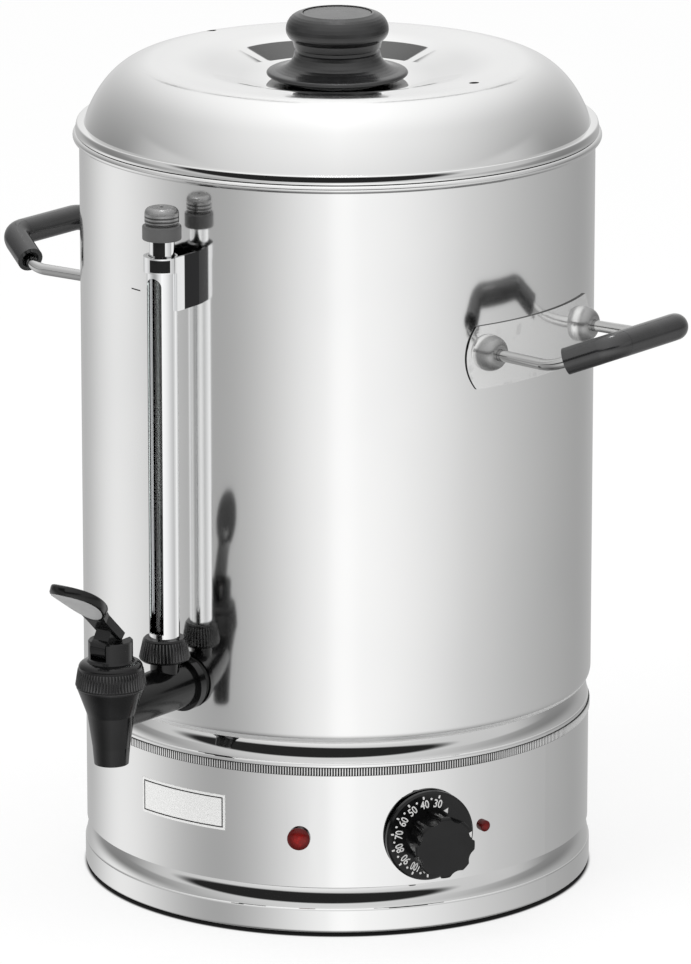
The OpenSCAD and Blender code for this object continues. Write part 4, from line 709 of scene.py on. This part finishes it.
class URN_OT_stage(Operator):
    """Sets up the camera, the floor, the lamps and the light all round"""

    bl_idname = "urn.stage"
    bl_label = "Studio"

    def execute(self, context):
        stage = context.scene.urn_stage
        context.scene.view_settings.view_transform = "Standard"
        self.camera(context, stage)
        self.floor()
        self.world(context, stage)
        self.lamps(stage)
        return {"FINISHED"}

    def camera(self, context, stage):
        """The camera at the photograph's viewing angle."""
        data = bpy.data.cameras.new("camera")
        data.lens = stage.lens
        data.sensor_width = 36
        data.shift_x = stage.shift
        data.clip_end = 100
        camera = placed("camera", data)
        out = outward(stage.camera_angle)[0]
        camera.location = out * stage.camera_distance + Vector((0, 0, stage.camera_height))
        camera.rotation_euler = (pi / 2 - stage.camera_pitch, 0, stage.camera_angle)
        context.scene.camera = camera

    def sheet(self, name, points, faces, material):
        """A stage object."""
        mesh = bpy.data.meshes.new(name)
        mesh.from_pydata([tuple(p) for p in points], [], faces)
        mesh.materials.append(material)
        made = placed(name, mesh)
        return made

    def floor(self):
        """A white floor that shows as white and still takes the urn's shadow. Under the urn it is painted near
        black and does not glow, as a painted contact shadow.
        """
        painted_shadow_radius, painted_shadow_edge, far = 134 * MM, 136.5 * MM, 30
        glow_strength, glow_share = 1.16, 0.55
        f = Finish("floor_white")
        at = f.place()
        # clear is 0 under the urn, where the floor is painted near black as a painted contact shadow, and 1
        # beyond it.
        clear = at.reach().step(painted_shadow_radius, painted_shadow_edge)
        paper = f.blend(f.noise(at, 3, 2), (0.9, 0.9, 0.9), (0.92, 0.92, 0.92))
        matt = f.node("ShaderNodeBsdfDiffuse", {}, {"Color": f.blend(clear, (0.03, 0.03, 0.03), paper)})
        glow = f.node("ShaderNodeEmission", {}, {"Color": (1, 1, 1), "Strength": glow_strength})
        seen = f.rays("Camera", "Glossy", "Transmission").step(0, 1)
        f.end(f.node("ShaderNodeMixShader", {}, {0: glow_share * seen * clear, 1: matt, 2: glow}))
        corners = [(-far, -far, 0), (far, -far, 0), (far, far, 0), (-far, far, 0)]
        made = self.sheet("floor", corners, [(0, 1, 2, 3)], f.material)
        made.visible_glossy = False

    def world(self, context, stage):
        """Even light for matt surfaces, white for the camera, and a soft studio for what is polished."""
        world = bpy.data.worlds.new("studio")
        world.use_nodes = True
        context.scene.world = world
        f = Finish("studio", world.node_tree)
        mirror = self.studio(f, stage)
        plain = f.rays("Camera", "Transmission")
        level = stage.ambient + (1 - stage.ambient) * plain
        level = level + (mirror - stage.ambient) * f.rays("Glossy") * (1 - plain)
        sky = f.node("ShaderNodeBackground", {}, {"Color": (1, 1, 1), "Strength": level})
        f.end(sky, "ShaderNodeOutputWorld")

    def studio(self, f, stage):
        """How bright the studio is each way, as polished steel shows it. Turns and lifts are in degrees, and
        a turn of 0 is the front."""
        way = f.node("ShaderNodeTexCoord", {}, {}, "Generated")
        out, right, up = outward(stage.camera_angle)
        front, side, rise = way.along(tuple(out)), way.along(tuple(right)), way.part("Z")
        share = f.node("ShaderNodeMath", {"operation": "ARCTAN2"}, {0: side, 1: front}) / (2 * pi) + 0.5
        turn = share * 360 - 180
        lift = rise.maths("ARCSINE") * (180 / pi)

        # Walls: a soft level over the horizon, and one that sweeps round the urn below it
        wide = abs(side)
        upper = 0.747 - 0.446 * wide - 0.049 * front + 0.29 * rise + 0.355 * wide * front + 0.05 * wide * rise
        sweep = [(-180, 0.45), (-150, 0.48), (-115, 0.78), (-55, 0.37), (-5, 0.87), (10, 0.93), (60, 0.64),
                 (130, 0.36), (180, 0.45)]
        stops = [(place / 360 + 0.5, level) for place, level in sweep]
        ramp = f.node("ShaderNodeValToRGB", {"ramp_interpolation": "CARDINAL", "stops": stops}, {0: share})
        lower = 1.11 * f.node("ShaderNodeRGBToBW", {}, {0: ramp})
        walls = lower + (1.06 * upper - lower) * rise.step(-0.22, -0.05)

        # A grey band low in front
        band = rise.step(0.02, 0.07) * (1 - rise.step(0.33, 0.4)) * (1 - abs(turn).step(80, 115))
        walls = walls + (0.66 - walls) * 0.75 * band

        # A dark oval in front, two dark arcs behind that a bright stripe splits, and a darker floor
        across, high = (turn + 12) / 68, (rise - 0.17) / 0.16
        oval = 1 - (across * across + high * high).step(0.65, 1.1)
        aside = 180 - abs(turn)
        ring = (aside / 10.6) ** 2 + ((lift - 27) / 17.5) ** 2
        stripe = lift.step(30, 30.6) * (1 - lift.step(32.4, 33))
        arcs = ring.step(0.84, 0.9) * (1 - ring.step(1.16, 1.22)) * lift.step(24.5, 26) * aside.step(4, 5)
        arcs = arcs * (1 - stripe)
        below = 1 - rise.step(-0.98, -0.4)
        walls = walls * (1 - 0.97 * oval) * (1 - 0.9 * arcs) * (1 - 0.7 * below)

        # A small bright lamp over the urn, a little behind it, in a soft glow
        lamp_lift = radians(112)
        lamp = way.along(tuple(out * cos(lamp_lift) + up * sin(lamp_lift)))
        glow = 0.12 * lamp.step(cos(radians(50)), 1)
        return walls + glow + 9 * lamp.step(cos(radians(4.5)), cos(radians(3)))

    def lamps(self, stage):
        """A large soft lamp high on the left, and a weaker one on the right."""
        middle = Vector((0, 0, 0.2))
        lights = (("key", -50, 1.6, 1.5, 1.2, 9), ("fill", 80, 1.1, 1.7, 1.0, 4))
        for name, turn, height, reach, size, power in lights:
            data = bpy.data.lights.new(name, "AREA")
            data.size = size
            data.energy = power
            lamp = placed(name, data)
            lamp.location = outward(stage.camera_angle + radians(turn))[0] * reach + Vector((0, 0, height))
            lamp.rotation_euler = (middle - lamp.location).to_track_quat("-Z", "Y").to_euler()
            lamp.visible_glossy = False


class URN_OT_shells(Operator):
    """Finishes the tank, the base casing and the lid"""

    bl_idname = "urn.shells"
    bl_label = "Tank, base and lid"

    def execute(self, context):
        dress("polished_steel", "base_shell")
        dress("black_satin", "lid_knob", "knob_cap")
        dress("inner_steel", "knob_screw", "knob_washer")
        sizes = context.scene.urn_sizes
        self.tank(sizes)
        self.lid(sizes)
        self.shoulder("foot_shoulder", (sizes.foot_shoulder_radius, sizes.foot_shoulder_z),
                      (sizes.groove_radius, sizes.groove_z), sizes.swell)
        self.shoulder("top_shoulder", (sizes.top_shoulder_radius, sizes.top_shoulder_z),
                      (sizes.top_edge_radius, sizes.top_edge_z), sizes.swell)
        return {"FINISHED"}

    def shoulder(self, name, foot, head, swell):
        """The bulge of a shoulder of the base, from its foot to its head, bedded in the casing's wall."""
        bed, count = FILM, 16
        dr, dz = head[0] - foot[0], head[1] - foot[1]
        out = (dz / hypot(dr, dz), -dr / hypot(dr, dz))
        rings = []
        for k in range(count + 1):
            share = k / count
            rise = swell * 4 * share * (1 - share)
            rings.append((foot[0] + share * dr + rise * out[0], foot[1] + share * dz + rise * out[1], 0))
        for r, z in (head, foot):
            rings.append((r - bed * out[0], z - bed * out[1], 0))
        points, faces = turned(rings, 360)
        piece(name, points, faces, "polished_steel", "urn")

    def tank(self, sizes):
        """The tank, turned from its floor up over the rim's bead and down inside, with the tap's hole."""
        low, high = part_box("tank")
        radius, sheet, bead = sizes.tank_radius, sizes.tank_sheet, sizes.bead_radius
        corner_w, corner_h = 2 * sizes.tank_corner / 3, sizes.tank_corner
        bead_at = (radius + bead - sheet, high.z - bead)
        patch, middle_z, floor_radii = 14 * MM, 250 * MM, (0, 50 * MM, 100 * MM)
        rows = [sizes.tap_z + patch * k / 3 for k in range(-3, 4)]
        rings = [(r, low.z) for r in floor_radii]
        rings += arc((radius - corner_w, low.z + corner_h), corner_w, corner_h, -90, 0, 12)
        first = len(rings)
        rings += [(radius, z) for z in rows] + [(radius, middle_z)]
        rings += arc(bead_at, bead, bead, -123, 180, 36) + [(radius - sheet, middle_z)]
        second = len(rings)
        rings += [(radius - sheet, z) for z in reversed(rows)]
        rings += arc((radius - corner_w, low.z + corner_h), corner_w - sheet, corner_h - sheet, 0, -90, 12)
        rings += [(r, low.z + sheet) for r in reversed(floor_radii)]
        out, right, up = outward(0)

        def edge(point, near):
            """A point of the patch moved on to the edge of the tap's hole."""
            across, rise = point.dot(right), point.z - sizes.tap_z
            share = sizes.tap_bore / hypot(across, rise)
            depth = sqrt(near[0][0] ** 2 - (share * across) ** 2)
            return out * depth + right * share * across + up * (sizes.tap_z + share * rise)

        n = len(rows)
        hole = (list(range(first, first + n)), list(range(second + n - 1, second - 1, -1)), 270, 6, edge)
        points, faces = pierced(rings, 360, [hole])
        piece("tank_wall", points, faces, "tank_steel", "urn", stands_for=["tank"])

    def lid(self, sizes):
        """The lid: rim, dome, dish and skirt from one sheet, with its two vents."""
        low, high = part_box("lid")
        sheet, ledge = sizes.lid_sheet, sizes.lid_ledge_z
        rim, corner, base = high.x, 0.8 * MM, ledge - 4.5 * MM
        soft, pitch, vent_pitch, vent_room = 7 * MM, 1.4 * MM, 2.1 * MM, 5.2 * MM
        slant = sizes.lid_foot_angle
        width = (sizes.lid_foot - sizes.lid_crown) / cos(slant)
        height = (high.z - ledge) / (1 - sin(slant))
        dish_z = high.z - sizes.lid_drop
        floor_z = dish_z - sizes.lid_dish_depth

        def plain(r):
            """The height of the lid at a radius, its edges still sharp."""
            if r > sizes.lid_crown:
                return high.z - height + height * sqrt(max(0, 1 - ((r - sizes.lid_crown) / width) ** 2))
            if r > sizes.lid_dish:
                return high.z - sizes.lid_drop * (sizes.lid_crown - r) / (sizes.lid_crown - sizes.lid_dish)
            share = (sizes.lid_dish - r) / (sizes.lid_dish - sizes.lid_floor)
            return dish_z + (floor_z - dish_z) * min(1, share)

        def rounded(r):
            """The same with soft edges."""
            reach = min(soft, max(0, sizes.lid_crown - r))
            return sum(plain(r + reach * k / 8) for k in range(-8, 9)) / 17

        vents = (sizes.vent_front, sizes.vent_rear)
        patch = [vent_pitch * k for k in (2, 1, 0, -1, -2)]
        radii = [r for r, z in arc((sizes.lid_crown, 0), width, height, degrees(slant), 84, 40)]
        radii += [sizes.lid_crown - pitch * k for k in range(1, 42)]
        radii += [38 * MM, 36 * MM, 20 * MM, sizes.lid_hole]
        radii = [r for r in radii if all(abs(r - v) > vent_room for v in vents)]
        radii = sorted(radii + [v + d for v in vents for d in patch], reverse=True)
        line = [(r, rounded(r)) for r in radii]
        back = inset(line, sheet)
        lean = sizes.lid_rim_lean
        bend = arc((rim - lean - corner, ledge - corner), corner, corner, 12, 90, 6)
        edge = [(rim, base), (rim, base + 1 * MM), (rim - 0.02 * MM, base + 1.3 * MM)] + bend
        rings = edge[:]
        first = len(rings)
        rings += line + back[::-1]
        skirt, under = sizes.lid_skirt, ledge - sheet
        rings += [(skirt - sheet, under), (skirt - sheet, low.z), (skirt, low.z), (skirt, under)]
        rings += inset(edge, sheet)[::-1]

        def hole(reach, middle):
            """A vent at a distance from the axis, its middle at a step of the turn."""
            centre = Vector((cos(radians(middle)), sin(radians(middle)), 0)) * reach
            start = next(k for k, r in enumerate(radii) if r < reach + patch[0] + 1e-6)
            rows = list(range(start, start + len(patch)))

            def vent_edge(point, near):
                """A point of the patch moved on to the vent's edge."""
                away = Vector((point.x, point.y, 0)) - centre
                at = centre + away * (sizes.vent / away.length)
                r = at.length
                for (r1, z1), (r0, z0) in zip(near, near[1:]):
                    if r0 <= r <= r1:
                        at.z = z0 + (z1 - z0) * (r - r0) / (r1 - r0)
                return at

            last = first + 2 * len(line) - 1
            return ([first + i for i in rows], [last - i for i in rows], middle, 3, vent_edge)

        points, faces = pierced(rings, 360, [hole(vents[0], -4), hole(vents[1], 167)])
        piece("lid_sheet", points, faces, "polished_steel", "lid", stands_for=["lid"])


class URN_OT_knurl(Operator):
    """Makes the knurled band with its ticks"""

    bl_idname = "urn.knurl"
    bl_label = "Knurled band"

    def execute(self, context):
        sizes = context.scene.urn_sizes
        low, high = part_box("knurled_band")
        outer, inner = high.x, sizes.panel_radius + PROUD
        steps = 4 * sizes.knurl_count
        shape = (0, 0, -1, -1)

        def tick(k):
            return sizes.knurl_depth * shape[k % 4]

        edge = 0.4 * MM
        profile = [(inner, low.z, 0), (outer - edge, low.z, 0), (outer, low.z + edge, 1),
                   (outer, high.z - edge, 1), (outer - edge, high.z, 0), (inner, high.z, 0)]
        points, faces = turned(profile, steps, (0, 0), tick)
        piece("knurled_ring", points, faces, "knurled_steel", "urn",
              stands_for=["knurled_band"])
        return {"FINISHED"}


class URN_OT_handles(Operator):
    """Finishes the two handles"""

    bl_idname = "urn.handles"
    bl_label = "Handles"

    def execute(self, context):
        for side in ("right", "left"):
            dress("plate_steel", f"{side}_handle_plate")
            dress("rod_steel", f"{side}_handle_rod")
            dress("grip_vinyl", f"{side}_handle_grip")
        return {"FINISHED"}


class URN_OT_gauge(Operator):
    """Finishes the sight gauge and makes the ribs of its nut"""

    bl_idname = "urn.gauge"
    bl_label = "Sight gauge"

    def execute(self, context):
        dress("chromed_tube", "gauge_guard", "gauge_neck")
        dress("bracket_steel", "gauge_bracket")
        dress("grooved_cap", "gauge_cap")
        dress("glass", "gauge_glass")
        dress("black_rubber", "gauge_seal")
        dress("black_plastic", "gauge_nut")
        sizes = context.scene.urn_sizes
        low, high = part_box("gauge_nut")
        foot, sunk, lip = (high.x - low.x) / 2, 0.3 * MM, 0.8 * MM
        ribbed_collar("gauge_nut_ribs", axis_of("gauge_nut"), foot - sunk, sizes.nut_head - sunk,
                      low.z + lip, high.z - lip, sizes.nut_ribs, sizes.rib_depth, "urn")
        self.windows(sizes)
        return {"FINISHED"}

    def windows(self, sizes):
        """Black sheets on the strap and the neck that are painted dark reflections, and the plain line that
        marks a full tank.
        """
        axis = axis_of("gauge_guard")
        low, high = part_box("gauge_bracket")
        strap = axis[1] - low.y
        side = sizes.window_angle
        # Black sheets on the strap and the neck: painted dark reflections.
        bent("strap_painted_reflection", axis, strap + PROUD, FILM, (side - 0.6, side + 0.55),
             (high.z - 7.2 * MM, high.z - 0.8 * MM), "black_ink")
        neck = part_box("gauge_neck")[1].x
        bent("neck_painted_reflection", axis, neck + PROUD, FILM, (side - 0.65, side + 0.35),
             (high.z + 0.6 * MM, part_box("gauge_cap")[0].z - 0.2 * MM), "black_ink")
        turn, width = sizes.level_mark_angle, 3.5 * MM / sizes.tank_radius
        bent("level_mark", (0, 0), sizes.tank_radius + PROUD, FILM, (turn - width, turn + width),
             (sizes.level_mark_z - 0.3 * MM, sizes.level_mark_z + 0.3 * MM), "black_ink")


class URN_OT_tap(Operator):
    """Finishes the tap and makes its bonnet's ribs, its washer, its spring and its lever's spoon"""

    bl_idname = "urn.tap"
    bl_label = "Tap"

    def execute(self, context):
        dress("black_plastic", "tap_body", "tap_bonnet", "tap_lever")
        dress("black_rubber", "tap_inner_gasket", "tap_outer_gasket")
        dress("brass", "tap_lock_nut")
        dress("inner_steel", "lever_pin", "valve_stem")
        dress("ivory_plastic", "valve_cup")
        sizes = context.scene.urn_sizes
        low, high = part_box("tap_bonnet")
        radius, lip, cord = (high.x - low.x) / 2 - 0.2 * MM, 0.6 * MM, 0.5 * MM
        ribbed_collar("bonnet_ribs", axis_of("tap_bonnet"), radius, radius - sizes.bonnet_lean, low.z + lip,
                      low.z + sizes.bonnet_collar, sizes.bonnet_ribs, sizes.rib_depth, "urn")
        self.spoon(sizes)
        self.spring(sizes)
        washer = [(r, z, 0) for r, z in arc((radius - 0.4 * MM, low.z), cord, cord, 0, 330, 11)]
        points, faces = turned(washer, 120, axis_of("tap_bonnet"))
        piece("bonnet_washer", points, faces, "black_gloss", "urn")
        return {"FINISHED"}

    def spring(self, sizes):
        """The valve's spring, a coil that rides on the stem."""
        low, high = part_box("valve_spring")
        wire, turns, steps, sides = sizes.spring_wire / 2, sizes.spring_turns, 48, 10
        x, y = axis_of("valve_spring")
        radius = (high.x - low.x) / 2 - wire
        rise = high.z - low.z - 2 * wire
        points, count = [], turns * steps
        for k in range(count + 1):
            turn = 2 * pi * k / steps
            for side in range(sides):
                tilt = 2 * pi * side / sides
                r = radius + wire * cos(tilt)
                z = low.z + wire + rise * k / count + wire * sin(tilt)
                points.append((x + r * cos(turn), y + r * sin(turn), z))
        faces = ring_faces(count + 1, sides)[:-sides]
        faces += [list(range(sides)), [count * sides + k for k in range(sides)]]
        coil = piece("spring_coil", points, faces, "inner_steel", "stem",
                     stands_for=["valve_spring"])
        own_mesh(coil)

    def spoon(self, sizes):
        """An oval spoon round the lever's paddle, and a grey pad below it."""
        bend, slope = sizes.spoon_bend, sizes.spoon_slope
        radius = sizes.spoon_length / bend
        out, right, up = outward(0)
        root = Vector((0, sizes.spoon_root_y, sizes.spoon_root_z))

        def place(along, across, rise):
            """A point by its way along the bent spoon, across it, and over its middle."""
            turn = slope - along / radius
            run = radius * (sin(slope) - sin(turn))
            lift = radius * (cos(turn) - cos(slope))
            return root + out * (run - rise * sin(turn)) + up * (lift + rise * cos(turn)) + right * across

        def oval(start, stop, half, low, high, soft, finish, name, slot):
            """A flat oval with soft edges, laid along the bend."""
            points, steps = [], 96
            rows = [(0, low), (0.5, low), (1 - soft / half, low), (1 - 0.3 * soft / half, low + 0.3 * soft),
                    (1, low + soft), (1, high - soft), (1 - 0.3 * soft / half, high - 0.3 * soft),
                    (1 - soft / half, high), (0.5, high), (0, high)]
            for share, rise in rows:
                for k in range(steps):
                    turn = 2 * pi * k / steps
                    along = (start + stop) / 2 + (stop - start) / 2 * share * cos(turn)
                    points.append(place(along, half * share * sin(turn), rise))
            piece(name, points, ring_faces(len(rows), steps)[:-steps], finish, "lever")

        long, half, thick = sizes.spoon_length, sizes.spoon_width / 2, sizes.spoon_thick / 2
        margin = 1.2 * MM
        oval(0.4 * MM, long, half, -thick, thick, margin, "black_plastic", "lever_spoon", "black_plastic")
        oval(2.2 * MM, long - margin, half - margin, -thick - FILM, -thick + 0.2 * MM, PROUD, "grey_satin",
             "lever_pad", "grey_plastic")


class URN_OT_panel_parts(Operator):
    """Makes the dial's figures and the blank plate, and finishes the dial and the lamps"""

    bl_idname = "urn.panel_parts"
    bl_label = "Control panel"

    def execute(self, context):
        dress("dial_black", "dial_skirt", "dial_grip")
        dress("inner_steel", "thermostat_shaft", "thermostat_screws")
        dress("red_lens", "heating_lamp_lens")
        dress("small_red_lens", "power_lamp_lens", "power_lamp_housing")
        dress("black_gloss", "heating_lamp_housing")
        sizes = context.scene.urn_sizes
        self.figures(sizes)
        self.blank_plate(sizes)
        return {"FINISHED"}

    def figures(self, sizes):
        """Figures, ticks, dots and pointers on the dial's skirt, as one thin print."""
        out, right, up = outward(sizes.dial_angle)
        centre = out * sizes.dial_face + up * sizes.dial_z
        points, faces = [], []
        thick = 0.08 * MM

        def lay(outline, turn, reach):
            """Adds flat outlines, given across and along a ray of the dial, as a thin print."""
            ray = right * cos(turn) + up * sin(turn)
            across = right * sin(turn) - up * cos(turn)
            start = len(points)
            for lift in (0, thick):
                for x, y in outline:
                    points.append(centre + ray * (reach + y) + across * x + out * lift)
            n = len(outline)
            faces.append([start + n + k for k in range(n)])
            faces.append([start + k for k in reversed(range(n))])
            around = list(range(start, start + n))
            faces.extend(bridge(around, [i + n for i in around]))

        first, step = radians(77), radians(23.6)
        values = range(30, 120, 10)
        half, tall, dot_size = 0.45 * MM, 1.6 * MM, 0.6 * MM
        tick = [(-half, 0), (half, 0), (half, tall), (-half, tall)]
        dot = arc((0, 0), dot_size, dot_size, 0, 330, 11)
        for k, value in enumerate(values):
            turn = first + k * step
            lay(tick, turn, 20.6 * MM)
            if k < len(values) - 1:
                lay(dot, turn + step / 2, 20.2 * MM)
            self.figure(str(value), turn, sizes, centre, (out, right, up), points, faces)
        lay([(-1.7 * MM, 3.4 * MM), (1.7 * MM, 3.4 * MM), (0, 0)], radians(-4), 19.6 * MM)
        lay([(-1.4 * MM, 0), (1.4 * MM, 0), (0, 2.6 * MM)], radians(56), 14.8 * MM)
        piece("dial_figures", points, faces, "white_print", "dial", flat=True)

    def figure(self, text, turn, sizes, centre, ways, points, faces):
        """One number of the dial, its top outwards."""
        out, right, up = ways
        curve = bpy.data.curves.new("figure", "FONT")
        curve.body = text
        curve.align_x = "CENTER"
        em_share, thick = 1.38, 0.04 * MM
        curve.size = sizes.figure_height * em_share
        curve.extrude = thick
        curve.offset = 0.09 * MM
        curve.resolution_u = 3
        maker = placed("figure", curve)
        mesh = bpy.data.meshes.new_from_object(maker.evaluated_get(bpy.context.evaluated_depsgraph_get()))
        ray = right * cos(turn) + up * sin(turn)
        across = right * sin(turn) - up * cos(turn)
        start = len(points)
        width = 0.62 if len(text) > 2 else 0.8
        for v in mesh.vertices:
            reach = sizes.figure_radius - sizes.figure_height / 2 + v.co.y
            points.append(centre + ray * reach + across * v.co.x * width + out * (v.co.z + thick))
        faces.extend([start + i for i in f.vertices] for f in mesh.polygons)
        bpy.data.objects.remove(maker)
        bpy.data.curves.remove(curve)
        bpy.data.meshes.remove(mesh)

    def blank_plate(self, sizes):
        """A blank white plate with a thin dark border, bent round the panel."""
        radius, middle, z = sizes.panel_radius, sizes.plate_angle, sizes.plate_z
        thick, line, margin, print_lift = 0.35 * MM, 0.6 * MM, 1.3 * MM, 0.38 * MM

        def lay(name, x0, x1, z0, z1, lift, finish):
            """A plate or a line of print on the panel."""
            turns = (middle + x0 / radius, middle + x1 / radius)
            bent(name, (0, 0), radius + lift, thick, turns, (z + z0, z + z1), finish)

        w, h = sizes.plate_width / 2, sizes.plate_height / 2
        lay("blank_plate", -w, w, -h, h, FILM, "white_print")
        a, b = w - margin, h - margin
        bars = {"top": (-a, a, b - line, b), "foot": (-a, a, -b, line - b),
                "left": (-a, line - a, line - b, b - line), "right": (a - line, a, line - b, b - line)}
        for side, (x0, x1, z0, z1) in bars.items():
            lay(f"plate_border_{side}", x0, x1, z0, z1, print_lift, "black_ink")


class URN_OT_inside(Operator):
    """Finishes the underside, the inlet and what is inside the base"""

    bl_idname = "urn.inside"
    bl_label = "Underside and inside"

    def execute(self, context):
        dress("inner_steel", "base_plate", "foot_screws", "foot_nuts", "tie_rods", "tie_nuts", "inlet_screws")
        dress("black_rubber", "rubber_feet")
        dress("heater_aluminium", "heater_plate", "heating_element")
        dress("ivory_plastic", "terminal_block", "thermostat_body")
        dress("copper", "sensor_bulb")
        dress("brass", "inlet_pins")
        dress("black_plastic", "power_inlet", "thermal_cutout")
        return {"FINISHED"}


OPERATORS = (URN_OT_stage, URN_OT_shells, URN_OT_knurl, URN_OT_handles, URN_OT_gauge, URN_OT_tap,
             URN_OT_panel_parts, URN_OT_inside)


class URN_PT_sidebar(Panel):
    """The urn's pieces, each with its own button"""

    bl_idname = "URN_PT_sidebar"
    bl_label = "Hot Water Urn"
    bl_space_type = "VIEW_3D"
    bl_region_type = "UI"
    bl_category = "Urn"

    def draw(self, context):
        for operator in OPERATORS:
            self.layout.operator(operator.bl_idname)


CLASSES = (UrnSizes, UrnColours, UrnStage, *OPERATORS, URN_PT_sidebar)


def register():
    """Registers the classes and their settings."""
    for item in CLASSES:
        bpy.utils.register_class(item)
    bpy.types.Scene.urn_sizes = PointerProperty(type=UrnSizes)
    bpy.types.Scene.urn_colours = PointerProperty(type=UrnColours)
    bpy.types.Scene.urn_stage = PointerProperty(type=UrnStage)


def unregister():
    """Takes the classes and their settings away again."""
    del bpy.types.Scene.urn_stage
    del bpy.types.Scene.urn_colours
    del bpy.types.Scene.urn_sizes
    for item in reversed(CLASSES):
        bpy.utils.unregister_class(item)


def main():
    """Makes every piece in order."""
    register()
    for operator in OPERATORS:
        group, name = operator.bl_idname.split(".")
        getattr(getattr(bpy.ops, group), name)()


if __name__ == "__main__":
    main()
